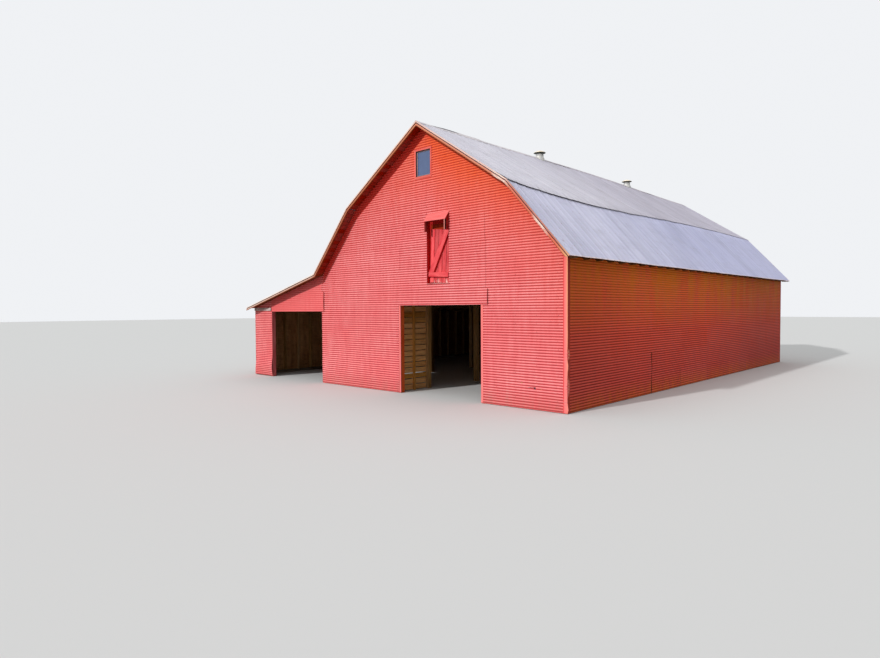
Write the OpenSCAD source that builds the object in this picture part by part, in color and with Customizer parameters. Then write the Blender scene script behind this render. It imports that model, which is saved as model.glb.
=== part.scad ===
// Red barn with a gambrel roof and a lean-to along its left side.
// Timber frame, corrugated sheet cladding, hay loft, hay door with a hood, two ridge ventilators.
// Lengths are in millimetres, x runs along the front, y towards the back, z up from the ground.

/* [Main barn] */
// Width of the main barn over its cladding
barn_width = 9144; // [8400:1:10400]
// Length of the barn over its cladding
barn_length = 18288; // [9000:1:24000]
// Height of the roof surface at the ridge
ridge_height = 7664; // [7300:1:8200]
// Height of the roof surface at the knuckle between the two slopes
knuckle_height = 5615; // [5300:1:5900]
// Distance of the knuckle in from the side wall
knuckle_inset = 1480; // [1300:1:1700]
// Height of the roof surface at the eave
eave_height = 3658; // [3500:1:3900]
// Reach of the eave past the right side wall
eave_overhang = 269; // [200:1:360]
// Reach of the roof past the front and back walls
rake_overhang = 358; // [200:1:500]
// Reach of the roof sheets past the boards and rafter tails at the right eave
eave_drip = 40; // [20:1:45]

/* [Lean-to] */
// Width of the lean-to outside the main barn
lean_to_width = 4572; // [4300:1:5000]
// Fall of the lean-to roof for each unit of run
lean_to_fall = 0.25; // [0.2:0.01:0.27]
// Reach of the lean-to eave past its side wall
lean_to_overhang = 40; // [30:1:120]

/* [Timber] */
// Thickness of studs, rafters, plates and joists
timber = 38; // [30:1:50]
// Depth of the wall studs, and width of sills and plates
stud_depth = 140; // [120:1:160]
// Height of the ground sills
sill_height = 89; // [60:1:120]
// Gap where two sills meet at a corner
sill_joint = 3; // [1:1:6]
// Spacing aimed at between rafters, studs and joists
bay = 610; // [500:1:800]
// Depth of the rafters, square to the slope
rafter_depth = 140; // [110:1:160]
// Level part of the notch where a rafter sits on its plate
rafter_seat = 89; // [60:1:110]
// Height of the upright cut at the end of a rafter's tail, which is cut level from there to the wall
rafter_tail = 30; // [20:1:100]
// Thickness of the roof boards
deck = 22; // [18:1:30]
// Side of the square posts
post = 140; // [120:1:160]

/* [Sheets] */
// Space that a wall or roof sheet takes on its boards or studs
sheet = 16; // [14:1:24]
// Distance from wave to wave in the wall sheets
wave_pitch = 67.7; // [60:0.1:80]
// Depth of the waves in the wall sheets
wave_depth = 12; // [8:1:13]
// Distance between the ribs of the roof sheets
rib_pitch = 305; // [250:1:400]
// Height of the ribs of the roof sheets
rib_height = 11; // [6:1:12]
// Width of the ribs at their foot
rib_width = 34; // [20:1:50]
// Thickness of the folded flashings
flashing = 3; // [2:1:5]
// Reach of the ridge flashing down each slope
ridge_flashing_reach = 160; // [120:1:220]
// Face width of the corner flashings
corner_flashing = 120; // [80:1:160]
// Face width of the flashings beside the main doorway
door_flashing = 68; // [40:1:90]
// Reach of the upper roof sheets down over the knuckle
knuckle_lap = 110; // [60:1:200]
// Depth of the rake boards, square to the slope
rake_board_depth = 100; // [80:1:160]

/* [Main doorway] */
// Clear width of the main doorway
main_door_width = 3040; // [2700:1:3300]
// Clear height of the main doorway
main_door_height = 2590; // [2450:1:2650]
// Distance of the doorway's middle to the right of the ridge line
main_door_offset = 480; // [400:1:560]
// Depth of the timber beams over the doorways
door_beam = 184; // [150:1:220]
// Height of the proud sheet over the main doorway
header_sheet_height = 410; // [300:1:480]
// Reach of the proud sheet past the doorway's left side
header_sheet_left = 35; // [20:1:80]
// Reach of the proud sheet past the doorway's right side
header_sheet_right = 230; // [150:1:300]

/* [Lean-to doorway] */
// Width of the wall between the lean-to's corner and its doorway
lean_to_wall_width = 1174; // [1000:1:1300]
// Width of the wall between the doorway and the main barn's side
lean_to_return = 308; // [290:1:380]
// Clear height of the lean-to doorway
lean_to_door_height = 2410; // [2250:1:2420]
// Reach of the sheet over the doorway past its right side
lean_to_header_lap = 130; // [100:1:140]
// Height of the weathered board beside the doorway's head
band_height = 110; // [70:1:140]
// Distance of that board's foot above the doorway's head
band_rise = 30; // [0:1:60]
// Thickness of that board
band = 19; // [12:1:25]

/* [Loft] */
// Height of the loft floor's top above the head of the main doorway
loft_rise = 458; // [440:1:520]
// Thickness of the loft floor boards
loft_board = 25; // [20:1:30]
// Depth of the loft joists
joist_depth = 235; // [200:1:250]
// Depth of the beams along the aisle
girder_depth = 200; // [180:1:215]
// Depth of the ledgers under the joists' outer ends
ledger_depth = 140; // [100:1:180]
// Length of the boarded wall at the left of the aisle
aisle_wall_length = 1150; // [1000:1:1800]
// Depth of the studs in the boarded aisle wall
aisle_stud_depth = 89; // [70:1:100]
// Width of the boards in the aisle wall
aisle_board_width = 150; // [120:1:200]
// Gap between the boards in the aisle wall
aisle_board_gap = 20; // [10:1:40]

/* [Hay door] */
// Width of the hay door's opening
hay_width = 830; // [760:1:900]
// Height of the hay door's opening
hay_height = 1830; // [1750:1:1900]
// Height of the opening's sill above the loft floor
hay_sill_rise = 122; // [60:1:160]
// Distance of the opening's left side to the right of the ridge line
hay_offset = 50; // [40:1:120]
// Depth of the door's boards behind the wall's face
hay_recess = 105; // [90:1:120]
// Height of the door's boards
hay_door_height = 1500; // [1400:1:1560]
// Gap round the hay door
hay_gap = 12; // [6:1:20]
// Number of boards in the hay door
hay_boards = 5; // [4:1:6]
// Gap between the hay door's boards
hay_board_gap = 4; // [2:1:8]
// Thickness of the hay door's boards
hay_board = 25; // [20:1:30]
// Width of the ledge across the hay door
hay_ledge = 150; // [110:1:170]
// Height of the ledge above the foot of the boards
hay_ledge_rise = 165; // [100:1:240]
// Width of the brace
hay_brace = 160; // [120:1:180]

/* [Hood] */
// Reach of the hood out from the wall
hood_reach = 160; // [120:1:220]
// Width of the hood over its cheeks
hood_width = 780; // [740:1:840]
// Height of the hood over its cheeks at the wall
hood_height = 500; // [460:1:560]
// Height of the hood's front over its cheeks
hood_front_height = 292; // [250:1:350]
// Height of the hood's cheeks above the hay door's sill
hood_foot = 1450; // [1400:1:1500]
// Distance of the hood's left side to the right of the opening's
hood_shift = 58; // [30:1:80]
// Overhang of the hood's sheet at its sides and front
hood_lip = 12; // [8:1:30]
// Thickness of the hood's cheeks
hood_cheek = 22; // [18:1:30]
// Side of the edge posts of the hood's cheeks
hood_post = 45; // [35:1:60]

/* [Gable window] */
// Width of the window's opening
window_width = 560; // [480:1:600]
// Height of the window's opening
window_height = 720; // [640:1:740]
// Distance from the ridge down to the head of the window's opening
window_drop = 729; // [700:1:790]
// Distance of the window's middle to the left of the ridge line
window_offset = 75; // [40:1:120]
// Width of the window's casing
casing = 92; // [70:1:110]
// Depth that the casing stands out of the wall
casing_out = 12; // [8:1:20]
// Depth of the glass behind the wall's face
glass_recess = 45; // [30:1:60]
// Thickness of the glass
glass = 4; // [3:1:6]

/* [Ridge ventilators] */
// Radius of a ventilator's neck at the ridge
vent_foot = 145; // [120:1:160]
// Radius of a ventilator's neck under its cap
vent_neck = 112; // [90:1:130]
// Radius of a ventilator's cap
vent_cap = 190; // [170:1:230]
// Height of a ventilator above the ridge
vent_height = 320; // [280:1:400]
// Distance of the front ventilator from the front wall
vent_front = 5750; // [4000:1:6500]
// Distance between the ventilators
vent_spacing = 6680; // [2500:1:9000]

/* [Hidden] */

$fn = 48;
half_width = barn_width / 2;
knuckle_x = half_width - knuckle_inset;
eave_x = half_width + eave_overhang;
lean_to_x = -half_width - lean_to_width;
lean_to_eave_x = lean_to_x - lean_to_overhang;
upper_fall = (ridge_height - knuckle_height) / knuckle_x;
lower_fall = (knuckle_height - eave_height) / (eave_x - knuckle_x);

// Depths below the roof surface, square to the slope
board_top = sheet;
rafter_top = sheet + deck;
rafter_foot = rafter_top + rafter_depth;

// Heights of the roof's planes at x, at a depth below their surface
function drop(depth, fall) = depth * sqrt(1 + fall * fall);
function upper_z(x, depth) = ridge_height - abs(x) * upper_fall - drop(depth, upper_fall);
function lower_z(x, depth) = eave_height + (eave_x - abs(x)) * lower_fall - drop(depth, lower_fall);
function lean_to_z(x, depth) = eave_height + (x + eave_x) * lean_to_fall - drop(depth, lean_to_fall);
function main_z(x, depth) = min(upper_z(x, depth), lower_z(x, depth));
// Distances from the ridge line at which two planes cross
function knuckle_at(depth) = (eave_height + eave_x * lower_fall - ridge_height
    + drop(depth, upper_fall) - drop(depth, lower_fall)) / (lower_fall - upper_fall);
function valley_at(depth) = eave_x
    - (drop(depth, lower_fall) - drop(depth, lean_to_fall)) / (lower_fall - lean_to_fall);
function reversed(points) = [for (i = [len(points) - 1:-1:0]) points[i]];
function mirrored(points) = [for (p = reversed(points)) [-p[0], p[1]]];
// Evenly spaced places for pieces of a width between two ends
function places(from, to, width) = let (n = ceil((to - from - width) / bay))
    [for (i = [0:n]) from + i * (to - from - width) / n];

// Wall and frame lines
stud_out = half_width - sheet;
stud_in = stud_out - stud_depth;
front_in = sheet + stud_depth;
back_in = barn_length - front_in;
frame_ys = places(sheet, barn_length - sheet, timber);
seat_in = stud_out - rafter_seat;
plate_top = lower_z(seat_in, rafter_foot);
plate_foot = plate_top - 2 * timber;
tail_cut = 20;
eave_end = eave_x - eave_drip;
tail_foot = lower_z(eave_end, rafter_top) - rafter_tail;
tail_start = eave_x - (tail_foot + drop(rafter_foot, lower_fall) - eave_height) / lower_fall;
lean_to_out = lean_to_x + sheet;
lean_to_in = lean_to_out + stud_depth;
lean_to_plate_top = lean_to_z(lean_to_in, rafter_foot);
lean_to_plate_foot = lean_to_plate_top - 2 * timber;
gusset = 12;
gusset_reach = 420;
side_top = lower_z(half_width, rafter_foot);
lean_to_side_top = lean_to_z(lean_to_x, rafter_top);

// Doorways
door_left = main_door_offset - main_door_width / 2;
door_right = main_door_offset + main_door_width / 2;
lean_door_left = lean_to_x + lean_to_wall_width;
lean_door_right = -half_width - lean_to_return;
door_beam_top = main_door_height + door_beam;
header_lap_x = lean_door_right + lean_to_header_lap;

// Loft
loft_height = main_door_height + loft_rise;
joist_foot = loft_height - loft_board - joist_depth;
girder_foot = joist_foot - girder_depth;
left_girder = door_left - 2 * post;
right_girder = door_right + post;
loft_post_pitch = 2430;
loft_post_count = round((back_in - post - front_in - aisle_wall_length) / loft_post_pitch);
loft_post_ys = [for (i = [0:loft_post_count]) front_in + aisle_wall_length
    + i * (back_in - post - front_in - aisle_wall_length) / loft_post_count];
// Every fourth frame has a post on the left line
left_posts = [for (i = [0:4:len(frame_ys) - 4]) frame_ys[i]];
last_left_post = barn_length - sheet - post;

// Hay door and window
hay_sill = loft_height + hay_sill_rise;
hay_left = hay_offset;
hay_right = hay_left + hay_width;
hay_top = hay_sill + hay_height;
hay_door_top = hay_sill + hay_gap + hay_door_height;
hood_left = hay_left + hood_shift;
hood_right = hood_left + hood_width;
hood_foot_z = hay_sill + hood_foot;
window_left = -window_offset - window_width / 2;
window_right = -window_offset + window_width / 2;
window_top = ridge_height - window_drop;
window_sill = window_top - window_height;
window_frame_depth = 70;
sash = 30;
hay_stop = 40;

// The origin is under the middle of the whole building
module place() {
    translate([-(eave_x + lean_to_eave_x) / 2, -barn_length / 2, 0]) children();
}

// Solid of an outline in x and z, from y towards the back
module upright(points, y, thickness) {
    translate([0, y + thickness, 0]) rotate([90, 0, 0]) linear_extrude(thickness) polygon(points);
}

// Solid of an outline in y and z, from x towards the right
module sideways(points, x, thickness) {
    translate([x, 0, 0]) rotate([90, 0, 90]) linear_extrude(thickness) polygon(points);
}

// Steps down one wave, and the distance from the sheet's outer plane to its face at a height
wave_steps = 8;
function wave(z) = wave_depth * (1 - cos(360 * z / wave_pitch)) / 2;
function wave_heights(from, to) = let (step = wave_pitch / wave_steps) concat([from],
    [for (k = [floor(from / step) + 1:ceil(to / step) - 1]) k * step], [to]);
// Cross-section of a corrugated sheet whose outer plane is at out and whose back is towards side
function wave_section(out, side, from, to) = concat(
    [for (z = wave_heights(from, to)) [out + side * wave(z), z]],
    [[out + side * sheet, to], [out + side * sheet, from]]);

// Corrugated sheet of an outline in x and z, its outer plane at y and its back towards side
module corrugated(points, y, side) {
    xs = [for (p = points) p[0]];
    zs = [for (p = points) p[1]];
    intersection() {
        sideways(wave_section(y, side, min(zs), max(zs)), min(xs), max(xs) - min(xs));
        upright(points, min(y, y + side * sheet), sheet);
    }
}

// Box between two places on each axis
module block(x, y, z) {
    translate([x[0], y[0], z[0]]) cube([x[1] - x[0], y[1] - y[0], z[1] - z[0]]);
}

// Walls

module front_wall_left() {
    color("indianred") place() corrugated([
        [lean_door_right, 0], [door_left, 0], [door_left, main_door_height],
        [header_lap_x, main_door_height], [header_lap_x, lean_to_door_height],
        [lean_door_right, lean_to_door_height]], 0, 1);
}

module front_wall_right() {
    color("indianred") place() sideways(wave_section(0, 1, 0, main_door_height), door_right,
        half_width - door_right);
}

module front_gable() {
    knuckle = knuckle_at(rafter_top);
    outline = [[header_lap_x, main_door_height], [half_width, main_door_height],
        [half_width, lower_z(half_width, rafter_top)], [knuckle, upper_z(knuckle, rafter_top)],
        [0, upper_z(0, rafter_top)], [-knuckle, upper_z(knuckle, rafter_top)],
        [header_lap_x, lower_z(header_lap_x, rafter_top)]];
    color("indianred") place() difference() {
        corrugated(outline, 0, 1);
        block([hay_left, hay_right], [-1, sheet + 1], [hay_sill, hay_top]);
        block([window_left, window_right], [-1, sheet + 1], [window_sill, window_top]);
    }
}

module door_header_sheet() {
    color("indianred") place() sideways(
        wave_section(-sheet, 1, main_door_height, main_door_height + header_sheet_height),
        door_left - header_sheet_left, main_door_width + header_sheet_left + header_sheet_right);
}

module lean_to_front_wall() {
    color("indianred") place() corrugated([[lean_to_x, 0], [lean_door_left, 0],
        [lean_door_left, lean_to_z(lean_door_left, rafter_top)],
        [lean_to_x, lean_to_z(lean_to_x, rafter_top)]], 0, 1);
}

module lean_to_header_sheet() {
    valley = -valley_at(rafter_top);
    color("indianred") place() corrugated([[lean_door_left, lean_to_door_height],
        [header_lap_x, lean_to_door_height], [header_lap_x, lower_z(header_lap_x, rafter_top)],
        [valley, lean_to_z(valley, rafter_top)],
        [lean_door_left, lean_to_z(lean_door_left, rafter_top)]], 0, 1);
}

module right_side_wall() {
    color("firebrick") place() upright(wave_section(half_width, -1, 0, side_top),
        sheet, barn_length - 2 * sheet);
}

module back_wall() {
    knuckle = knuckle_at(rafter_top);
    color("firebrick") place() corrugated([[-half_width, 0], [half_width, 0],
        [half_width, lower_z(half_width, rafter_top)], [knuckle, upper_z(knuckle, rafter_top)],
        [0, upper_z(0, rafter_top)], [-knuckle, upper_z(knuckle, rafter_top)],
        [-half_width, lower_z(half_width, rafter_top)]], barn_length, -1);
}

module lean_to_side_wall() {
    color("firebrick") place() upright(wave_section(lean_to_x, 1, 0, lean_to_side_top),
        sheet, barn_length - 2 * sheet);
}

module lean_to_back_wall() {
    valley = -valley_at(rafter_top);
    color("firebrick") place() corrugated([[lean_to_x, 0], [-half_width, 0],
        [-half_width, lower_z(half_width, rafter_top)], [valley, lean_to_z(valley, rafter_top)],
        [lean_to_x, lean_to_z(lean_to_x, rafter_top)]], barn_length, -1);
}

// Folded strips on the corners of the right side, and flat ones beside the main doorway
module edge_flashings() {
    color("indianred") place() {
        for (out = [-1, 1]) {
            face = out < 0 ? 0 : barn_length;
            outer = face + out * flashing;
            inner = face - out * corner_flashing;
            block([half_width - corner_flashing, half_width + flashing],
                [min(face, outer), max(face, outer)], [0, side_top]);
            block([half_width, half_width + flashing], [min(outer, inner), max(outer, inner)],
                [0, side_top]);
        }
        for (x = [door_left - door_flashing, door_right])
            block([x, x + door_flashing], [-flashing, 0], [0, main_door_height - flashing]);
    }
}

// Weathered board across the wall beside the lean-to doorway, just above its head
module lean_to_band() {
    foot = lean_to_door_height + band_rise;
    color("rosybrown") place() block([lean_to_x, lean_door_left], [-band, 0], [foot, foot + band_height]);
}

// Roof

// Outline of one layer of a main slope, between two depths below the surface
function upper_band(top, foot) = [[0, upper_z(0, foot)],
    [knuckle_at(foot), upper_z(knuckle_at(foot), foot)],
    [knuckle_at(top), upper_z(knuckle_at(top), top)], [0, upper_z(0, top)]];
function lower_band(top, foot, end_top, end_foot) = [
    [knuckle_at(foot), lower_z(knuckle_at(foot), foot)], [end_foot, lower_z(end_foot, foot)],
    [end_top, lower_z(end_top, top)], [knuckle_at(top), lower_z(knuckle_at(top), top)]];
roof_y = -rake_overhang;
roof_length = barn_length + 2 * rake_overhang;
// Height that an outline stands over the surface it is cut to
over = 5;
rib_count = round((roof_length - 2 * rib_width) / rib_pitch);
rib_places = [for (i = [0:rib_count]) rib_width / 2 + i * (roof_length - 2 * rib_width) / rib_count];

// Ribbed sheet on a slope that passes through a point and falls to the right, the outline gives
// its back and ends and stands a little over the ribs
module ribbed(points, through, fall) {
    reach = eave_x - lean_to_eave_x;
    section = concat([[-sheet, -2 * sheet], [-sheet, -rib_height]], [for (y = rib_places) each
        [[y, -rib_height], [y + rib_width / 2, 0], [y + rib_width, -rib_height]]],
        [[roof_length + sheet, -rib_height], [roof_length + sheet, -2 * sheet]]);
    intersection() {
        upright(points, roof_y, roof_length);
        translate([through[0], roof_y, through[1]]) rotate([0, atan(fall), 0])
            translate([-reach, 0, 0]) rotate([90, 0, 90]) linear_extrude(2 * reach) polygon(section);
    }
}

// Part of the upper sheets that is bent down over the knuckle, on the ribs of the lower sheets
function knuckle_flange() = let (bed = (rib_height + sheet) / 2, start = knuckle_at(0) - rib_width,
        end = knuckle_at(0) + knuckle_lap * cos(atan(lower_fall)))
    [[start, upper_z(start, bed)], [knuckle_at(bed), upper_z(knuckle_at(bed), bed)],
    [knuckle_at(0), upper_z(knuckle_at(0), 0)], [end, lower_z(end, 0)], [end, lower_z(end, -flashing)],
    [knuckle_at(-flashing), upper_z(knuckle_at(-flashing), -flashing)], [start, upper_z(start, -flashing)]];

module roof_upper_right() {
    color("lightsteelblue") place() {
        ribbed(upper_band(-over, sheet), [0, ridge_height], upper_fall);
        upright(knuckle_flange(), roof_y, roof_length);
    }
}

module roof_upper_left() {
    color("lightsteelblue") place() {
        ribbed(mirrored(upper_band(-over, sheet)), [0, ridge_height], -upper_fall);
        upright(mirrored(knuckle_flange()), roof_y, roof_length);
    }
}

module roof_lower_right() {
    color("lightsteelblue") place()
        ribbed(lower_band(-over, sheet, eave_x, eave_x), [eave_x, eave_height], lower_fall);
}

module roof_lower_left() {
    color("lightsteelblue") place()
        ribbed(mirrored(lower_band(-over, sheet, valley_at(-over), valley_at(sheet))),
            [-eave_x, eave_height], -lower_fall);
}

module lean_to_roof() {
    color("lightsteelblue") place() ribbed([[lean_to_eave_x, lean_to_z(lean_to_eave_x, sheet)],
        [lean_to_eave_x, lean_to_z(lean_to_eave_x, -over)],
        [-valley_at(-over), lean_to_z(-valley_at(-over), -over)],
        [-valley_at(sheet), lean_to_z(-valley_at(sheet), sheet)]], [-eave_x, eave_height], -lean_to_fall);
}

// The boards stop at the rake boards and leave a slit at the ridge, those on the left run on over the lean-to
module roof_boards() {
    slit = timber / 4;
    left_end = lean_to_eave_x + tail_cut;
    upper = function(side, depth) [[side * slit, upper_z(slit, depth)],
        [side * knuckle_at(depth), upper_z(knuckle_at(depth), depth)]];
    valley = function(depth) [-valley_at(depth), lean_to_z(-valley_at(depth), depth)];
    color("saddlebrown") place() {
        upright(concat(upper(1, rafter_top), [[eave_end, lower_z(eave_end, rafter_top)],
            [eave_end, lower_z(eave_end, board_top)]], reversed(upper(1, board_top))),
            roof_y + deck, roof_length - 2 * deck);
        upright(concat(upper(-1, board_top), [valley(board_top), [left_end, lean_to_z(left_end, board_top)],
            [left_end, lean_to_z(left_end, rafter_top)], valley(rafter_top)],
            reversed(upper(-1, rafter_top))), roof_y + deck, roof_length - 2 * deck);
    }
}

module ridge_flashing() {
    reach = ridge_flashing_reach * cos(atan(upper_fall));
    color("silver") place() upright([[-reach, upper_z(reach, 0)], [0, upper_z(0, 0)],
        [reach, upper_z(reach, 0)], [reach, upper_z(reach, -flashing)], [0, upper_z(0, -flashing)],
        [-reach, upper_z(reach, -flashing)]], roof_y, roof_length);
}

// Round neck through the ridge that narrows upwards, and a cap with a rolled rim and a low cone
module ridge_ventilator() {
    ring = vent_height * 0.57;
    rim = vent_height * 0.09;
    peak = vent_cap * 0.08;
    difference() {
        translate([0, 0, ridge_height]) rotate_extrude() polygon([[0, -vent_cap], [vent_foot, -vent_cap],
            [vent_foot, 0], [vent_neck, ring], [vent_cap - rim / 2, ring], [vent_cap, ring + rim / 2],
            [vent_cap - rim / 2, ring + rim], [vent_cap / 2, (ring + rim + vent_height) / 2 + rim / 2],
            [peak, vent_height], [0, vent_height]]);
        upright([[-2 * vent_cap, 0], [2 * vent_cap, 0], [2 * vent_cap, upper_z(2 * vent_cap, -flashing)],
            [0, upper_z(0, -flashing)], [-2 * vent_cap, upper_z(2 * vent_cap, -flashing)]],
            -2 * vent_cap, 4 * vent_cap);
    }
}

module ridge_ventilators() {
    color("gainsboro") place() for (y = [vent_front, vent_front + vent_spacing])
        translate([0, y, 0]) ridge_ventilator();
}

// Outline of the boards along the edge of the whole roof
function rake_outline(top, foot, end_cut) = [
    [lean_to_eave_x, lean_to_z(lean_to_eave_x, top)], [-valley_at(top), lean_to_z(-valley_at(top), top)],
    [-knuckle_at(top), upper_z(knuckle_at(top), top)], [0, upper_z(0, top)],
    [knuckle_at(top), upper_z(knuckle_at(top), top)], [eave_x, lower_z(eave_x, top)],
    [eave_x, lower_z(eave_x, end_cut)], [eave_x - (foot - end_cut), lower_z(eave_x - (foot - end_cut), foot)],
    [knuckle_at(foot), upper_z(knuckle_at(foot), foot)], [0, upper_z(0, foot)],
    [-knuckle_at(foot), upper_z(knuckle_at(foot), foot)],
    [-valley_at(foot), lean_to_z(-valley_at(foot), foot)], [lean_to_eave_x, lean_to_z(lean_to_eave_x, foot)]];

module rake_boards() {
    color("lightsalmon") place() for (y = [roof_y, barn_length + rake_overhang - deck])
        upright(rake_outline(sheet, sheet + rake_board_depth, sheet + rake_board_depth / 2), y, deck);
}

// Roof frame

module ridge_board() {
    color("peru") place() upright([[-timber / 2, upper_z(timber / 2, rafter_top + 1.4 * rafter_depth)],
        [timber / 2, upper_z(timber / 2, rafter_top + 1.4 * rafter_depth)],
        [timber / 2, upper_z(timber / 2, rafter_top)], [-timber / 2, upper_z(timber / 2, rafter_top)]],
        sheet, barn_length - 2 * sheet);
}

// A lower and an upper rafter, cut to meet at the knuckle and notched over the plate, the tail gives its end
function rafter_outline(tail) = concat([[timber / 2, upper_z(timber / 2, rafter_top)],
    [knuckle_at(rafter_top), upper_z(knuckle_at(rafter_top), rafter_top)]], tail,
    [[stud_out, lower_z(stud_out, rafter_foot)], [stud_out, plate_top], [seat_in, plate_top],
    [knuckle_at(rafter_foot), upper_z(knuckle_at(rafter_foot), rafter_foot)],
    [timber / 2, upper_z(timber / 2, rafter_foot)]]);

// Boards on the inside of the frame that tie the two rafters at the knuckle
function gusset_outline() = let (up = knuckle_at(rafter_top) - gusset_reach * cos(atan(upper_fall)),
        down = knuckle_at(rafter_top) + gusset_reach * cos(atan(lower_fall)))
    [[up, upper_z(up, rafter_top)], [knuckle_at(rafter_top), upper_z(knuckle_at(rafter_top), rafter_top)],
    [down, lower_z(down, rafter_top)], [down, lower_z(down, rafter_foot)], [up, upper_z(up, rafter_foot)]];

module rafter_row(side, tail) {
    for (y = frame_ys) {
        last = y > barn_length / 2;
        upright(side > 0 ? rafter_outline(tail) : mirrored(rafter_outline(tail)), y, timber);
        upright(side > 0 ? gusset_outline() : mirrored(gusset_outline()),
            last ? y - gusset : y + timber, gusset);
    }
}

module rafters_right() {
    color("peru") place() rafter_row(1,
        [[eave_end, lower_z(eave_end, rafter_top)], [eave_end, tail_foot], [tail_start, tail_foot]]);
}

module rafters_left() {
    end = valley_at(rafter_top) - tail_cut;
    color("peru") place() rafter_row(-1, [[end, lower_z(end, rafter_top)], [end, lower_z(end, rafter_foot)]]);
}

// The lean-to rafters lie beside the main ones, against a ledger on the left line's posts
module lean_to_rafters() {
    head = -stud_out - timber;
    color("peru") place() for (i = [0:len(frame_ys) - 1]) upright([
        [lean_to_out, lean_to_plate_top], [lean_to_in, lean_to_plate_top],
        [head, lean_to_z(head, rafter_foot)], [head, lean_to_z(head, rafter_top)],
        [-valley_at(rafter_top), lean_to_z(-valley_at(rafter_top), rafter_top)],
        [lean_to_out, lean_to_z(lean_to_out, rafter_top)]],
        frame_ys[i] + (i == len(frame_ys) - 1 ? -timber : timber), timber);
}

// Wall frames

module wall_plates() {
    ledger_foot = lean_to_z(-stud_out - timber, rafter_foot);
    color("burlywood") place() {
        for (x = [-stud_out, stud_in])
            block([x, x + stud_depth], [sheet, barn_length - sheet], [plate_foot, plate_top]);
        block([lean_to_out, lean_to_in], [sheet, barn_length - sheet],
            [lean_to_plate_foot, lean_to_plate_top]);
        block([-stud_out - timber, -stud_out], [sheet, barn_length - sheet],
            [ledger_foot, lower_z(stud_out + timber, rafter_foot) - gusset]);
    }
}

// The sills across the building stop just short of those along it
module ground_sills() {
    color("dimgray") place() {
        for (x = [stud_in, lean_to_out])
            block([x, x + stud_depth], [sheet, barn_length - sheet], [0, sill_height]);
        for (span = [[lean_to_in + sill_joint, lean_door_left - post],
                [post - stud_out, door_left - post], [door_right + post, stud_in - sill_joint]])
            block(span, [sheet, front_in], [0, sill_height]);
        for (span = [[lean_to_in + sill_joint, -stud_out], [post - stud_out, stud_in - sill_joint]])
            block(span, [back_in, barn_length - sheet], [0, sill_height]);
    }
}

// Stud whose top is cut to the underside of the end rafters
module gable_stud(x, y, foot) {
    upright([[x, foot], [x + timber, foot], [x + timber, main_z(x + timber, rafter_foot)],
        [x, main_z(x, rafter_foot)]], y, stud_depth);
}

module front_studs() {
    color("burlywood") place() {
        for (x = places(post - stud_out, door_left - post, timber)) gable_stud(x, sheet, sill_height);
        for (x = places(door_right + post, stud_in, timber)) gable_stud(x, sheet, sill_height);
        for (x = [door_left - post + bay, door_right + post - bay])
            gable_stud(x, sheet, door_beam_top);
    }
}

module right_side_studs() {
    color("burlywood") place() for (y = frame_ys)
        block([stud_in, stud_out], [y, y + timber], [sill_height, plate_foot]);
}

module back_studs() {
    color("burlywood") place() {
        for (x = places(post - stud_out, stud_in, timber)) gable_stud(x, back_in, sill_height);
        for (x = places(lean_to_in, -stud_out - timber, timber))
            upright([[x, sill_height], [x + timber, sill_height],
                [x + timber, lean_to_z(x + timber, rafter_foot)], [x, lean_to_z(x, rafter_foot)]],
                back_in, stud_depth);
    }
}

module lean_to_studs() {
    color("burlywood") place() {
        for (y = frame_ys)
            block([lean_to_out, lean_to_in], [y, y + timber], [sill_height, lean_to_plate_foot]);
        for (x = places(lean_to_in + timber, lean_door_left - post, timber))
            upright([[x, sill_height], [x + timber, sill_height],
                [x + timber, lean_to_z(x + timber, rafter_foot)], [x, lean_to_z(x, rafter_foot)]],
                sheet, stud_depth);
    }
}

module left_line_posts() {
    color("burlywood") place() for (y = concat(left_posts, [last_left_post]))
        block([-stud_out, post - stud_out], [y, y + post], [0, plate_foot]);
}

module main_door_frame() {
    color("brown") place() {
        for (x = [door_left - post, door_right])
            block([x, x + post], [sheet, front_in], [0, main_door_height]);
        block([door_left - post, door_right + post], [sheet, front_in],
            [main_door_height, door_beam_top]);
    }
}

module lean_to_door_frame() {
    color("brown") place() {
        for (x = [lean_door_left - post, lean_door_right])
            block([x, x + post], [sheet, front_in], [0, lean_to_door_height]);
        block([lean_door_left - post, lean_door_right + post], [sheet, front_in],
            [lean_to_door_height, lean_to_door_height + door_beam]);
    }
}

// Loft

module loft_floor() {
    color("sienna") place() block([post - stud_out, stud_in], [front_in, back_in],
        [loft_height - loft_board, loft_height]);
}

module loft_joists() {
    color("peru") place() for (y = places(front_in, back_in, timber))
        block([post - stud_out, stud_in], [y, y + timber], [joist_foot, loft_height - loft_board]);
}

module loft_beams() {
    color("peru") place() {
        for (x = [left_girder, right_girder])
            block([x, x + post], [front_in, back_in], [girder_foot, joist_foot]);
        for (x = [post - stud_out, stud_in - timber])
            block([x, x + timber], [front_in, back_in], [joist_foot - ledger_depth, joist_foot]);
    }
}

module loft_posts() {
    color("peru") place() for (x = [left_girder, right_girder]) for (y = loft_post_ys)
        block([x, x + post], [y, y + post], [0, girder_foot]);
}

// Spaced boards on the far side of three studs, under the beam at the left of the aisle
module aisle_wall() {
    pitch = aisle_board_width + aisle_board_gap;
    count = floor((girder_foot - aisle_board_gap) / pitch);
    color("peru") place() {
        for (y = [front_in, front_in + (aisle_wall_length - timber) / 2])
            block([left_girder + post - aisle_stud_depth, left_girder + post], [y, y + timber],
                [0, girder_foot]);
        for (i = [0:count - 1])
            block([left_girder + post - aisle_stud_depth - deck, left_girder + post - aisle_stud_depth],
                [front_in, front_in + aisle_wall_length],
                [aisle_board_gap + i * pitch, aisle_board_gap + i * pitch + aisle_board_width]);
    }
}

// Hay door

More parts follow.
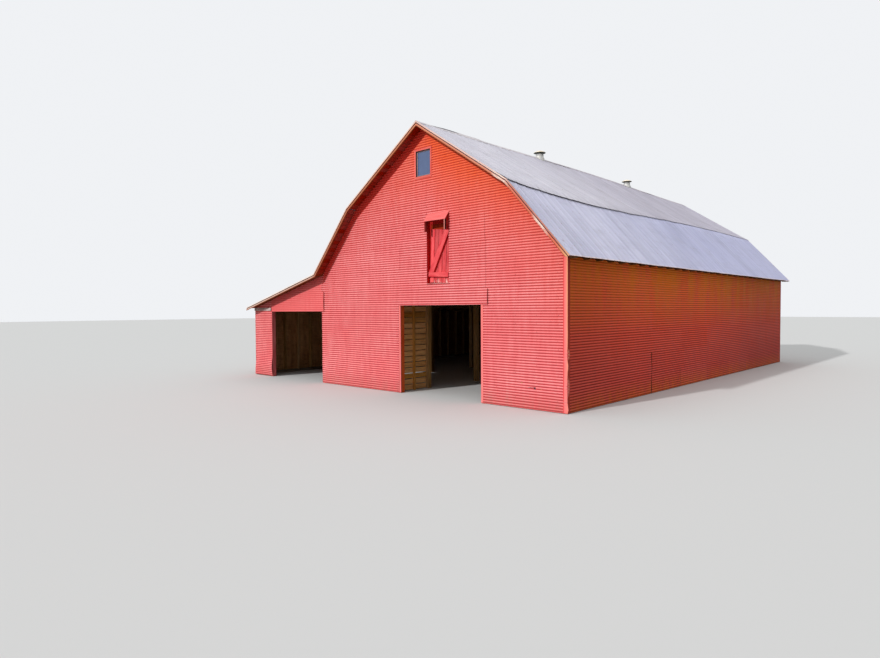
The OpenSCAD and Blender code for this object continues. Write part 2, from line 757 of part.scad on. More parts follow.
module hay_door_frame() {
    color("brown") place() {
        for (x = [hay_left - timber, hay_right])
            block([x, x + timber], [sheet, front_in], [door_beam_top, hay_top]);
        block([hay_left - timber, hay_right + timber], [sheet, front_in], [hay_top, hay_top + timber]);
        block([hay_left, hay_right], [sheet, front_in], [hay_sill - timber, hay_sill]);
        block([hay_left, hay_right], [hay_recess, hay_recess + hay_board],
            [hay_door_top + hay_gap, hay_top]);
        for (x = [hay_left, hay_right - hay_stop])
            block([x, x + hay_stop], [hay_recess + hay_board, front_in], [hay_sill, hay_top]);
    }
}

module hay_door_boards() {
    width = (hay_width - 2 * hay_gap + hay_board_gap) / hay_boards;
    color("indianred") place() for (i = [0:hay_boards - 1])
        block([hay_left + hay_gap + i * width, hay_left + hay_gap + (i + 1) * width - hay_board_gap],
            [hay_recess, hay_recess + hay_board], [hay_sill + hay_gap, hay_door_top]);
}

// One ledge, and a brace from its left end that is cut off level at the top right corner
module hay_door_braces() {
    foot = hay_sill + hay_gap + hay_ledge_rise;
    left = hay_left + hay_gap;
    right = hay_right - hay_gap;
    run = right - left - hay_brace;
    rise = hay_door_top - foot - hay_ledge;
    across = hay_brace * sqrt(run * run + rise * rise) / rise;
    color("indianred") place() {
        block([left, right], [hay_recess - timber, hay_recess], [foot, foot + hay_ledge]);
        upright([[left, foot + hay_ledge], [left + across, foot + hay_ledge],
            [right, hay_door_top], [right - across, hay_door_top]], hay_recess - timber, timber);
    }
}

// Sloping sheet on two cheeks, each with a post at its front edge
module hay_hood() {
    slope = (hood_height - hood_front_height) / hood_reach;
    cheek = [[0, hood_foot_z], [0, hood_foot_z + hood_height + drop(sheet, slope) / 2],
        [-hood_reach, hood_foot_z + hood_front_height + drop(sheet, slope) / 2],
        [-hood_reach, hood_foot_z]];
    edge = -hood_reach + hood_post;
    edge_top = hood_foot_z + hood_height + edge * slope;
    color("indianred") place() {
        for (x = [hood_left, hood_right - hood_cheek]) sideways(cheek, x, hood_cheek);
        for (x = [hood_left, hood_right - hood_post])
            sideways([[edge, hood_foot_z], [edge, edge_top],
                [-hood_reach, hood_foot_z + hood_front_height], [-hood_reach, hood_foot_z]],
                x, hood_post);
        sideways([[0, hood_foot_z + hood_height], [0, hood_foot_z + hood_height + drop(sheet, slope)],
            [-hood_reach - hood_lip, hood_foot_z + hood_front_height - slope * hood_lip
                + drop(sheet, slope)],
            [-hood_reach - hood_lip, hood_foot_z + hood_front_height - slope * hood_lip]],
            hood_left - hood_lip, hood_right - hood_left + 2 * hood_lip);
    }
}

// Window

module window_frame() {
    color("firebrick") place() {
        difference() {
            block([window_left - casing, window_right + casing], [-casing_out, 0],
                [window_sill - casing, window_top + casing]);
            block([window_left, window_right], [-2 * casing_out, casing_out],
                [window_sill, window_top]);
        }
        difference() {
            block([window_left, window_right], [-casing_out, window_frame_depth],
                [window_sill, window_top]);
            block([window_left + sash, window_right - sash], [-2 * casing_out, window_frame_depth + 1],
                [window_sill + sash, window_top - sash]);
        }
    }
}

module window_glass() {
    color("steelblue", 0.6) place() block([window_left + sash, window_right - sash],
        [glass_recess, glass_recess + glass], [window_sill + sash, window_top - sash]);
}

front_wall_left();
front_wall_right();
front_gable();
door_header_sheet();
lean_to_front_wall();
lean_to_header_sheet();
right_side_wall();
back_wall();
lean_to_side_wall();
lean_to_back_wall();
roof_upper_right();
roof_upper_left();
roof_lower_right();
roof_lower_left();
lean_to_roof();
roof_boards();
ridge_flashing();
ridge_ventilators();
rake_boards();
lean_to_band();
edge_flashings();
ridge_board();
rafters_right();
rafters_left();
lean_to_rafters();
wall_plates();
ground_sills();
front_studs();
right_side_studs();
back_studs();
lean_to_studs();
left_line_posts();
main_door_frame();
lean_to_door_frame();
loft_floor();
loft_joists();
loft_beams();
loft_posts();
aisle_wall();
hay_door_frame();
hay_door_boards();
hay_door_braces();
hay_hood();
window_frame();
window_glass();
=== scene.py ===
import math
import random

import bmesh
import bpy
from mathutils import Matrix, Vector, noise


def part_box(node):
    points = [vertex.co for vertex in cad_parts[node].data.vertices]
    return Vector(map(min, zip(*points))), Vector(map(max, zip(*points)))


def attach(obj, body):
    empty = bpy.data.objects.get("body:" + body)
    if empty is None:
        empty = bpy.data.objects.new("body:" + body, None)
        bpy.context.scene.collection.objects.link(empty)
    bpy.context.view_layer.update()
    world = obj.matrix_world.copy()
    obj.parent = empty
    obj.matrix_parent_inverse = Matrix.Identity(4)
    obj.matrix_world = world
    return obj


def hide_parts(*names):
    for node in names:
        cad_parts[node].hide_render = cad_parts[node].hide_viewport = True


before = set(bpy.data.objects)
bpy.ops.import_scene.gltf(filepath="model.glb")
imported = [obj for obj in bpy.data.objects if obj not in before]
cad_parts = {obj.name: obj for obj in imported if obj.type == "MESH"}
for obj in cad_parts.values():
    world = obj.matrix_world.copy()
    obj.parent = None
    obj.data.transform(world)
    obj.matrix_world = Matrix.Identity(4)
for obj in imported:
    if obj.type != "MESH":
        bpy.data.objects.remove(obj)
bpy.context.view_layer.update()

# The barn's own frame, in metres: x = 0 under the ridge, y = 0 on the front wall's face, z = 0 on the ground.
# Every new piece is built in it, and its object stands at barnOrigin.
backLow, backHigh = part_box("back_wall")
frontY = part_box("front_gable")[0].y
barnOrigin = Vector(((backLow.x + backHigh.x) / 2, frontY, 0))


def nodeSpan(name):
    return [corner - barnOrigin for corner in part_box(name)]


upperRoof, lowerRoof, leanRoof = map(nodeSpan, ("roof_upper_right", "roof_lower_right", "lean_to_roof"))
barn = {
    "half": (backHigh.x - backLow.x) / 2,
    "length": backHigh.y - frontY,
    "ridge": upperRoof[1].z,
    "knee": lowerRoof[1].z,
    "eave": leanRoof[1].z,
    "lowerFall": 1.1189,
    "eaveX": lowerRoof[1].x,
    "leanX": nodeSpan("lean_to_side_wall")[0].x,
    "leanEaveX": leanRoof[0].x,
    "leanFall": 0.25,
    "rake": -upperRoof[0].y,
    "sheet": 0.016,      # room that a sheet takes on its boards
    "boards": 0.022,     # roof boards
}
barn["kneeX"] = barn["eaveX"] - (barn["knee"] - barn["eave"]) / barn["lowerFall"]
upperFall = (barn["ridge"] - barn["knee"]) / barn["kneeX"]
leanEave = barn["eave"] - (-barn["eaveX"] - barn["leanEaveX"]) * barn["leanFall"]
rakeLength = barn["length"] + 2 * barn["rake"]
rakeEnd = barn["length"] + barn["rake"]

frontLeft, frontRight = nodeSpan("front_wall_left"), nodeSpan("front_wall_right")
mainDoor = {"left": frontLeft[1].x, "right": frontRight[0].x, "top": frontRight[1].z}
leanDoor = {"left": nodeSpan("lean_to_front_wall")[1].x, "right": frontLeft[0].x,
            "top": nodeSpan("lean_to_header_sheet")[0].z}
glassLow, glassHigh = nodeSpan("window_glass")
sashRoom = 0.03          # from the glass to the edge of the window's opening
windowHole = (glassLow.x - sashRoom, glassHigh.x + sashRoom, glassLow.z - sashRoom, glassHigh.z + sashRoom)
frameLow, frameHigh = nodeSpan("hay_door_frame")
leafLow, leafHigh = nodeSpan("hay_door_boards")
hayJamb = 0.038
hayLeft, hayRight, hayTop = frameLow.x + hayJamb, frameHigh.x - hayJamb, frameHigh.z - hayJamb
hayFoot = leafLow.z - 0.012

# Meshes. A sketch gathers points and faces, with two values at each point: tone is a random number for each
# sheet or board, and grain is a place on it, with x along it. Faces in second take the second material.


def newSketch():
    return {"points": [], "faces": [], "tone": [], "grain": [], "second": set()}


def addPoint(sketch, point, tone=0.5, grain=None):
    sketch["points"].append(tuple(point))
    sketch["tone"].append(tone)
    sketch["grain"].append(tuple(point if grain is None else grain))
    return len(sketch["points"]) - 1


def joinRings(sketch, rings, flip=False, ends=2):
    # faces between rings of points, closed at both ends, or only at the last
    n = len(rings[0])
    made = [(low[k], low[(k + 1) % n], high[(k + 1) % n], high[k]) for low, high in zip(rings, rings[1:])
            for k in range(n)]
    made += [tuple(reversed(rings[0])), tuple(rings[-1])][2 - ends:]
    sketch["faces"] += [tuple(reversed(face)) for face in made] if flip else made


def joinRows(sketch, rows, flip=False):
    for a, b in zip(rows, rows[1:]):
        for k in range(len(a) - 1):
            face = (a[k], a[k + 1], b[k + 1], b[k])
            sketch["faces"].append((face[0], *face[:0:-1]) if flip else face)


def makePiece(sketch, name, material, replaced=(), smooth=False, thickness=0, inner=None, cuts=()):
    mesh = bpy.data.meshes.new(name)
    mesh.from_pydata(sketch["points"], [], sketch["faces"])
    mesh.attributes.new("tone", "FLOAT", "POINT").data.foreach_set("value", sketch["tone"])
    grain = [c for g in sketch["grain"] for c in g]
    mesh.attributes.new("grain", "FLOAT_VECTOR", "POINT").data.foreach_set("vector", grain)
    for plane in (*cuts, None):
        work = bmesh.new()
        work.from_mesh(mesh)
        if plane:                             # cut away what lies past each plane
            bmesh.ops.bisect_plane(work, geom=work.verts[:] + work.edges[:] + work.faces[:], dist=1e-5,
                                   plane_co=plane[0], plane_no=plane[1], clear_outer=True)
        elif smooth and thickness:            # the rims don't bend the shading at a sheet's edges
            for edge in work.edges:
                edge.smooth = not edge.is_boundary
        work.to_mesh(mesh)
        work.free()
    mesh.polygons.foreach_set("use_smooth", [smooth] * len(mesh.polygons))
    for one in (material, inner) if inner else (material,):
        mesh.materials.append(one)
    for index in sketch["second"]:
        mesh.polygons[index].material_index = 1
    piece = bpy.data.objects.new(name, mesh)
    bpy.context.scene.collection.objects.link(piece)
    piece.location = barnOrigin
    if thickness:
        solid = piece.modifiers.new("thickness", "SOLIDIFY")
        solid.thickness = thickness
        solid.offset = -1
        if inner:
            solid.material_offset = 1
            solid.material_offset_rim = 0
    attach(piece, "root")
    if replaced:
        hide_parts(*replaced)
    return piece


def smoothStep(t):
    t = max(0.0, min(1.0, t))
    return t * t * (3 - 2 * t)


def bump(t):              # 1 at 0, falling to 0 at -1 and 1
    return smoothStep(1 - abs(t))


right, back, up, front = (1, 0, 0), (0, 1, 0), (0, 0, 1), (0, -1, 0)
eased = 0.003             # how far the edges of boards are eased


# A chamfered board. start is the middle of one end, and the three directions are unit vectors.
def addBoard(sketch, start, along, across, outward, length, width, thick, dice, chamfer=eased, parts=1,
             warp=0.0, slant=0.0):
    along, across, outward = Vector(along), Vector(across), Vector(outward)
    tone, shift = dice.random(), Vector([dice.uniform(0, 60) for _ in range(3)])
    a, b, c = width / 2, thick / 2, min(chamfer, thick / 3)
    outline = [(-a + c, -b), (a - c, -b), (a, -b + c), (a, b - c), (a - c, b), (-a + c, b), (-a, b - c),
               (-a, -b + c)]
    bend = [dice.uniform(-warp, warp) for _ in range(parts + 1)]
    rings = []
    for i in range(parts + 1):
        ring = []
        for w, t in outline:
            reach = length * (i / parts) + w * slant * (i / parts)
            at = Vector(start) + along * reach + across * w + outward * (t + bend[i])
            ring.append(addPoint(sketch, at, tone, (reach + shift.x, w + shift.y, t + shift.z)))
        rings.append(ring)
    joinRings(sketch, rings)


def addPost(sketch, foot, height, width, depth, dice, chamfer=eased, parts=3):
    addBoard(sketch, foot, up, right, front, height, width, depth, dice, chamfer, parts)


def addRail(sketch, start, length, width, depth, dice, chamfer=eased, parts=2, warp=0.0):
    addBoard(sketch, start, right, up, front, length, width, depth, dice, chamfer, parts, warp)


def turned(side, other, k, sides):
    return side * math.cos(2 * math.pi * k / sides) + other * math.sin(2 * math.pi * k / sides)


def addNailHead(sketch, place, out, radius, dice, sides=7):
    # a low domed head on its washer, set on a surface with the given outward direction
    out = Vector(out).normalized()
    side = out.orthogonal().normalized()
    other = out.cross(side)
    tone = dice.random()
    joinRings(sketch, [[addPoint(sketch, Vector(place) + turned(side, other, k, sides) * radius * size
                                 + out * radius * height, tone) for k in range(sides)]
                       for size, height in ((1.0, 0.0), (0.92, 0.18), (0.5, 0.24), (0.42, 0.5))], ends=1)


# Material helpers. Nodes go into the tree of the material made last.


def newMaterial(name):
    global tree, shader
    material = bpy.data.materials.new(name)
    material.use_nodes = True
    tree = material.node_tree
    shader = tree.nodes["Principled BSDF"]
    return material


def plug(node, inputs):
    for key, value in inputs.items():
        if isinstance(value, bpy.types.NodeSocket):
            tree.links.new(value, node.inputs[key])
        else:
            node.inputs[key].default_value = value


def addNode(kind, inputs, output=0, **settings):
    made = tree.nodes.new("ShaderNode" + kind)
    for key, value in settings.items():
        setattr(made, key, value)
    plug(made, inputs)
    return made.outputs if output is None else made.outputs[output]


def stretch(vector, scale, rotation=(0, 0, 0)):
    return addNode("Mapping", {"Vector": vector, "Scale": scale, "Rotation": rotation})


def cloud(vector, scale, detail=4, roughness=0.55, distortion=0.0):
    return addNode("TexNoise", {"Vector": vector, "Scale": scale, "Detail": detail, "Roughness": roughness,
                                "Distortion": distortion}, "Fac")


def remap(value, low, high, toLow=0.0, toHigh=1.0):
    return addNode("MapRange", {"Value": value, "From Min": low, "From Max": high, "To Min": toLow,
                                "To Max": toHigh}, "Result")


def maths(operation, a, b=0.0):
    return addNode("Math", {0: a, 1: b}, operation=operation)


def times(a, b):
    return maths("MULTIPLY", a, b)


def blend(factor, a, b, mode="MIX"):
    def colour(value):
        return value if isinstance(value, bpy.types.NodeSocket) else (*value, 1)
    return addNode("Mix", {0: factor, 6: colour(a), 7: colour(b)}, 2, data_type="RGBA", blend_type=mode)


def tint(colour, value, saturation=1.0):
    return addNode("HueSaturation", {"Color": colour, "Value": value, "Saturation": saturation})


def split(vector):
    return addNode("SeparateXYZ", {0: vector}, None)


def addVectors(a, b):
    return addNode("VectorMath", {0: a, 1: b}, operation="ADD")


def join(x, y, z):
    return addNode("CombineXYZ", {0: x, 1: y, 2: z})


def objectPlace():
    return addNode("TexCoord", {}, "Object")


def attribute(name, output="Fac"):
    return addNode("Attribute", {}, output, attribute_name=name)


def finishMaterial(colour, roughness, shine=0.5, metal=0.0, relief=None):
    # relief is a height, the bump's strength and its distance
    plug(shader, {"Base Color": colour, "Roughness": roughness, "Specular IOR Level": shine,
                  "Metallic": metal})
    if relief:
        height, strength, distance = relief
        plug(shader, {"Normal": addNode("Bump", {"Height": height, "Strength": strength,
                                                 "Distance": distance})})


print("1 helpers ready")

# Red painted corrugated sheet. axis is the wall's horizontal direction, for the streaks under the nails.
frontPaint = {"axis": 0, "foot": (0.92, 0.145, 0.160), "low": (0.90, 0.160, 0.170),
              "high": (0.92, 0.135, 0.100), "crown": (1.0, 0.126, 0.020),
              "lowZ": 3.6, "highZ": 9.0, "lean": 0.6, "chalkAndHighlight": (1.0, 0.42, 0.415), "chalkAndHighlightShare": 0.85,
              "hollow": (0.40, 0.014, 0.018), "hollowShadeShare": 0.92,
              "shadowBandRed": (0.86, 0.042, 0.028), "stain": (0.30, 0.075, 0.04), "eaveStain": 0.0,
              "shine": 0.18}
sidePaint = {"axis": 1, "foot": (0.68, 0.082, 0.064), "low": (0.78, 0.092, 0.055),
             "high": (0.98, 0.116, 0.046), "lowZ": 1.0, "highZ": 3.2, "lean": 0.0,
             "chalkAndHighlight": (0.90, 0.15, 0.10), "chalkAndHighlightShare": 0.6, "hollow": (0.16, 0.006, 0.004),
             "hollowShadeShare": 0.92, "stain": (0.68, 0.200, 0.006),
             "eaveStain": 0.85, "shine": 0.04, "far": (9.0, 15.0, 1, 0.72), "near": (0.4, 3.6, 0.94, 1.16)}
sheetRust = {"colour": (0.20, 0.05, 0.02), "nailSpacing": 0.61, "streakWidth": 0.010}
sheetWave = {"pitch": 0.0677, "depth": 0.0145, "steps": 8}
leanEdge = (-4.9, -4.7)   # where the lean-to's roof meets the barn's


def underRoofEdge(x, z):
    # how far a place on the front lies below the line of the roof
    far = maths("ABSOLUTE", x)

    def line(top, fall):
        return maths("SUBTRACT", top, times(far, fall))

    lower, lean = (line(barn["eave"] + barn["eaveX"] * fall, fall)
                   for fall in (barn["lowerFall"], barn["leanFall"]))
    upper = line(barn["ridge"], upperFall)
    return maths("SUBTRACT", maths("MAXIMUM", maths("MINIMUM", upper, lower), lean), z)


def redSheetMaterial(name, paint):
    material = newMaterial(name)
    place = objectPlace()
    parts = split(place)
    x, y, z = parts
    tone = attribute("tone")
    # the paint turns orange towards the top, and further down on the right
    warm = maths("ADD", z, times(x, paint["lean"]))
    colour = blend(remap(z, 0.1, 2.2), paint["foot"], paint["low"])
    colour = blend(remap(warm, paint["lowZ"], paint["highZ"]), colour, paint["high"])
    # chalky fading and a painted highlight on the crests, in streaks that run down the wall and in broad
    # patches
    streaks = cloud(stretch(place, (5, 5, 0.7)), 1.6, 5, 0.65)
    patches = cloud(stretch(place, (0.6, 0.6, 0.9)), 1.0, 3)
    turn = maths("COSINE", times(z, 2 * math.pi / sheetWave["pitch"]))
    chalkAndHighlight = times(remap(streaks, 0.30, 0.70, 0.35, 1), remap(patches, 0.35, 0.65, 0.45, 1))
    chalkAndHighlight = times(chalkAndHighlight, remap(turn, -0.5, 0.5, 0.0, 1))
    chalkAndHighlight = times(chalkAndHighlight, remap(warm, paint["highZ"], paint["lowZ"], 0.6, 1))
    if "crown" in paint:            # more orange close under the roof edge at the right and at the top
        crown = times(remap(underRoofEdge(x, z), 2.5, 0.5), remap(x, -1.6, 0.3, 0.3, 1))
        crown = times(crown, remap(z, 4.0, 6.0, 0.2, 1))
        colour = blend(crown, colour, paint["crown"])
        chalkAndHighlight = times(chalkAndHighlight, remap(crown, 0, 1, 1, 0.35))
    colour = blend(times(chalkAndHighlight, paint["chalkAndHighlightShare"]), colour, paint["chalkAndHighlight"])
    # each sheet is a little lighter or darker than the next
    colour = tint(colour, remap(tone, 0, 1, 0.975, 1.02), remap(tone, 0, 1, 1.01, 0.99))
    # painted shade: a deeper, darker colour in the hollows of the waves
    hollow = times(remap(turn, 0.0, -0.8), remap(streaks, 0.3, 0.7, 1, 0.7))
    colour = blend(times(hollow, paint["hollowShadeShare"]), colour, paint["hollow"])
    if "shadowBandRed" in paint:        # painted shade: a deeper, darker red in the band under the roof edge at the left, where the rake's shadow falls
        inShadowBand = times(remap(underRoofEdge(x, z), 0.39, 0.33), times(remap(x, 0.3, -0.2), remap(x, *leanEdge)))
        colour = blend(times(inShadowBand, remap(turn, -1, 1, 0.95, 0.8)), colour, paint["shadowBandRed"])
    # splashed dirt at the foot, brown runs under the eave
    foot = times(remap(z, 0.5, 0.0), remap(streaks, 0.3, 0.75, 0.05, 0.6))
    colour = blend(foot, colour, paint["stain"])
    if paint["eaveStain"]:
        runs = cloud(stretch(place, (1.6, 1.6, 0.35)), 1.2, 4, 0.6)
        under = times(remap(z, 1.8, 3.55), remap(runs, 0.34, 0.62, 0.3, paint["eaveStain"]))
        colour = blend(under, colour, paint["stain"])
    # rust: runs under the nails, and specks
    spacing = sheetRust["nailSpacing"]
    fromNail = maths("PINGPONG", maths("ADD", parts[paint["axis"]], 20 * spacing), spacing / 2)
    run = times(remap(fromNail, sheetRust["streakWidth"], 0.002),
                remap(cloud(stretch(place, (1.6, 1.6, 3.4)), 1.7, 2), 0.52, 0.78, 0, 0.45))
    speck = times(remap(cloud(place, 16, 6, 0.7), 0.68, 0.75),
                  remap(cloud(place, 1.1, 3), 0.50, 0.64, 0, 0.7))
    rust = maths("MAXIMUM", run, speck)
    colour = blend(rust, colour, sheetRust["colour"])
    if "far" in paint:              # duller towards the barn's far end
        colour = tint(colour, times(remap(y, *paint["far"]), remap(y, *paint["near"])))
    grit = maths("ADD", cloud(place, 55, 3, 0.6), times(rust, 1.5))
    finishMaterial(colour, remap(streaks, 0.3, 0.7, 0.46, 0.66), paint["shine"], relief=(grit, 0.18, 0.0015))
    return material


def bareSheetMaterial():
    material = newMaterial("sheetBack")
    place = objectPlace()
    streaks = cloud(stretch(place, (3, 3, 0.6)), 1.5, 5, 0.65)
    colour = blend(remap(streaks, 0.35, 0.65), (0.33, 0.145, 0.05), (0.52, 0.27, 0.11))
    rust = remap(cloud(stretch(place, (2, 2, 0.8)), 2.6, 7, 0.7), 0.48, 0.72, 0, 0.7)
    finishMaterial(blend(rust, colour, (0.20, 0.06, 0.015)), remap(streaks, 0.3, 0.7, 0.5, 0.75), metal=0.3,
                   relief=(streaks, 0.2, 0.002))
    return material


# The roof's paths: lists of (x, z) from the head down. d is the distance along one.
rightPath = [(0, barn["ridge"]), (barn["kneeX"], barn["knee"]), (barn["eaveX"], barn["eave"])]
leftPath = [(-x, z) for x, z in rightPath]
leanPath = [(-barn["eaveX"], barn["eave"]), (barn["leanEaveX"], leanEave)]
upperLength, lowerLength, leanLength = (math.dist(*ends) for ends in (rightPath[:2], rightPath[1:], leanPath))
roofLength = upperLength + lowerLength


# Dull galvanised roof sheets: grain.x runs down the slope, grain.y along the barn
def roofMaterial(name, pale, dull, dirt, rustColour, far, rustAmount=0.0, crestShade=None):
    material = newMaterial(name)
    place = objectPlace()
    y = split(place)[1]
    grain = attribute("grain", "Vector")
    tone = attribute("tone")
    runs = cloud(stretch(grain, (0.35, 3.0, 1)), 1.6, 5, 0.6)
    patches = cloud(stretch(grain, (0.5, 0.8, 1)), 0.7, 4)
    colour = blend(remap(runs, 0.36, 0.66), pale, dull)
    colour = blend(remap(patches, 0.46, 0.72, 0, 0.5), colour, dirt)
    bands = cloud(stretch(grain, (2.6, 0.35, 1)), 1.1, 5, 0.65)
    colour = blend(remap(bands, 0.52, 0.70, 0, 0.35), colour, dirt)
    colour = blend(0.04, colour, addNode("TexVoronoi", {"Vector": place, "Scale": 26.0}, "Color"), "OVERLAY")
    colour = tint(colour, remap(tone, 0, 1, 0.965, 1.02))
    # rust: fine specks everywhere, more towards the front corner of the right eave
    corner = addNode("VectorMath", {0: place, 1: (barn["eaveX"], -barn["rake"], barn["eave"])}, "Value",
                     operation="DISTANCE")
    specks = maths("ADD", cloud(stretch(grain, (2.2, 5, 1)), 3.4, 7, 0.68),
                   remap(corner, 2.6, 0.2, 0.0, 0.17))
    rust = remap(specks, 0.70 - rustAmount, 0.82 - rustAmount, 0, 0.6)
    colour = blend(rust, colour, rustColour)
    # duller towards the far end, and a worn edge along the eave
    colour = blend(remap(y, 2.5, 9.0), colour, far, "MULTIPLY")
    down = split(grain)[0]
    worn = times(remap(down, roofLength - 0.05, roofLength - 0.02), remap(runs, 0.3, 0.6, 0.3, 0.9))
    colour = blend(worn, colour, (0.92, 0.72, 0.66))
    if crestShade:                  # painted shade: a dark stretch along the ridge cap's crest at the front
        low, high = crestShade
        along = times(remap(y, low - 0.2, low), remap(y, high + 0.3, high))
        colour = blend(times(along, remap(down, 0.07, 0.05)), colour, (0.06, 0.055, 0.075))
    finishMaterial(colour, maths("ADD", remap(runs, 0.3, 0.7, 0.46, 0.6), times(rust, 0.3)), metal=0.08,
                   relief=(cloud(place, 30, 4), 0.12, 0.002))
    return material


# Rough sawn wood. With direction "grain" it follows each board, else it runs along that axis.
def woodMaterial(name, direction="grain", turn=0.0, dark=(0.24, 0.11, 0.035), light=(0.62, 0.36, 0.14),
                 grey=(0.42, 0.34, 0.24), greyShare=0.3, spread=(0.72, 1.22), oversprayShade=None):
    material = newMaterial(name)
    if direction == "grain":
        place = attribute("grain", "Vector")
        tone = attribute("tone")
    else:
        spin = {"x": (0, 0, 0), "y": (0, 0, -math.pi / 2), "z": (0, math.pi / 2, 0), "slope": (0, turn, 0)}
        tone = addNode("NewGeometry", {}, "Random Per Island")
        place = addVectors(stretch(objectPlace(), (1, 1, 1), spin[direction]),
                           join(times(tone, 37.0), times(tone, 11.0), 0.0))
    wander = cloud(stretch(place, (0.7, 5, 5)), 1.5, 3)
    bent = addVectors(stretch(place, (0.35, 9, 9)), join(0.0, times(wander, 1.6), 0.0))
    fibres = cloud(stretch(place, (2.5, 90, 90)), 2.2, 4, 0.7)
    figure = maths("ADD", times(cloud(bent, 3.2, 5, 0.6, 0.4), 0.62), times(fibres, 0.38))
    colour = blend(remap(figure, 0.36, 0.64), dark, light)
    knots = addNode("TexVoronoi", {"Vector": stretch(place, (1.1, 3.6, 3.6)), "Scale": 1.3}, "Distance")
    colour = blend(remap(knots, 0.085, 0.03, 0, 0.8), colour, tuple(0.5 * c for c in dark))
    weather = remap(cloud(stretch(place, (0.8, 4, 4)), 1.4, 4), 0.42, 0.66)
    colour = blend(times(weather, greyShare), colour, grey)
    if oversprayShade:                   # dark red on the soffit close to the front wall: red paint, and painted shade to match the shadow on the wall below
        x, y, _ = split(objectPlace())
        redAndShade = times(remap(y, -0.26, -0.17), remap(x, *leanEdge))
        colour = blend(times(redAndShade, remap(y, 0.05, 0.0)), colour, oversprayShade)
    colour = tint(colour, remap(tone, 0, 1, *spread), remap(tone, 0, 1, 1.08, 0.88))
    finishMaterial(colour, 0.86, 0.05, relief=(figure, 0.55, 0.003))
    return material


# Painted boards: paint worn off along the grain, bare wood under it. zones gives a colour for
# places from the left end of the roof edge to the right, and chalky the stretches with chalky paint.
def paintedWood(name, paint=None, faded=None, bare=(0.30, 0.20, 0.14), wear=0.60, rough=0.62,
                spread=(0.86, 1.1),
                zones=(), edge=None, chalky=(), wornFoot=None):
    material = newMaterial(name)
    place = attribute("grain", "Vector")
    tone = attribute("tone")
    fibres = cloud(stretch(place, (2.0, 60, 60)), 2.0, 4, 0.7)
    blotch = cloud(stretch(place, (1.2, 6, 6)), 1.6, 5, 0.65)
    if zones:
        x = split(objectPlace())[0]
        first, last = zones[0][0], zones[-1][0]
        ramp = tree.nodes.new("ShaderNodeValToRGB")
        plug(ramp, {"Fac": remap(x, first, last)})
        for k, (at, zone) in enumerate(zones):
            stop = ramp.color_ramp.elements[k] if k < 2 else ramp.color_ramp.elements.new(1.0)
            stop.position = (at - first) / (last - first)
            stop.color = (*zone, 1)
        colour = blend(remap(blotch, 0.36, 0.68, 0.35, 0.0), ramp.outputs["Color"], bare)
    else:
        colour = blend(remap(blotch, 0.36, 0.68), paint, faded)
    colour = tint(colour, remap(tone, 0, 1, *spread))
    flake = maths("ADD", times(cloud(stretch(place, (3, 18, 18)), 1.5, 6, 0.7), 0.75), times(fibres, 0.25))
    worn = remap(flake, wear - 0.02, wear + 0.05)
    colour = blend(worn, colour, bare)
    if edge:                        # rake boards are darker along the foot
        colour = blend(remap(maths("ADD", split(place)[2], times(blotch, 0.6)), 0.85, 1.2), colour, edge)
    for low, high in chalky:
        side = maths("MINIMUM", remap(x, low - 0.15, low), remap(x, high + 0.15, high))
        patch = remap(cloud(stretch(place, (4, 8, 4)), 1.3, 5, 0.7), 0.42, 0.54)
        colour = blend(times(side, patch), colour, (0.97, 0.80, 0.70))
    if wornFoot is not None:        # paint gone at the foot
        gone = times(remap(split(objectPlace())[2], wornFoot + 0.14, wornFoot + 0.05),
                     remap(cloud(stretch(place, (2, 8, 8)), 1.6, 4, 0.7), 0.51, 0.62))
        colour = blend(gone, colour, (0.95, 0.52, 0.47))
    finishMaterial(colour, remap(worn, 0, 1, rough, 0.9), 0.1,
                   relief=(maths("SUBTRACT", fibres, times(worn, 0.6)), 0.35, 0.0015))
    return material


def nailMaterial(name, zinc, rust, share):
    material = newMaterial(name)
    colour = blend(remap(attribute("tone"), share, share + 0.2), rust, zinc)
    finishMaterial(blend(cloud(objectPlace(), 90, 3), colour, rust, "MULTIPLY"), 0.6, metal=0.4)
    return material


frontRed = redSheetMaterial("redSheetFront", frontPaint)
sideRed = redSheetMaterial("redSheetSide", sidePaint)
backRed = redSheetMaterial("redSheetBack", dict(sidePaint, axis=0, foot=(0.60, 0.065, 0.075), highZ=6.5,
                                                low=(0.68, 0.085, 0.08), high=(0.66, 0.065, 0.03),
                                                eaveStain=0.0))
headerRed = redSheetMaterial("redSheetHeader", dict(frontPaint, chalkAndHighlightShare=0.40, hollowShadeShare=0.35,
                                                    low=(0.87, 0.128, 0.134)))
bareSheet = bareSheetMaterial()
upperFinish = {"pale": (0.74, 0.71, 0.79), "dull": (0.63, 0.61, 0.69), "dirt": (0.48, 0.455, 0.50),
               "rustColour": (0.38, 0.19, 0.10), "far": (0.78, 0.76, 0.80)}
upperZinc = roofMaterial("galvanisedUpper", **upperFinish)
# the lower slopes and the lean-to take a bluer copy of the zinc, a painted tint of blue sky light
lowerZincSkyTint = roofMaterial("galvanisedLowerSkyTint", (0.76, 0.75, 0.93), (0.66, 0.655, 0.84), (0.50, 0.49, 0.62),
                         (0.40, 0.20, 0.11), (0.78, 0.80, 0.89))
capZinc = roofMaterial("galvanisedCap", **dict(upperFinish, pale=(0.84, 0.77, 0.78), dull=(0.70, 0.65, 0.68)),
                       rustAmount=0.03, crestShade=(0.4, 1.2))
wallNails = nailMaterial("wallNails", (0.86, 0.20, 0.19), (0.30, 0.06, 0.03), 0.10)
roofNails = nailMaterial("roofNails", (0.66, 0.66, 0.70), (0.36, 0.20, 0.12), 0.2)
# painted shade: a dark red for the hay door's frame, the brace's sides and the hood's underside, which stand
# in shade
revealShadeWood = paintedWood("hayRevealShadeBoards", (0.50, 0.012, 0.012), (0.62, 0.024, 0.020), (0.22, 0.03, 0.02))
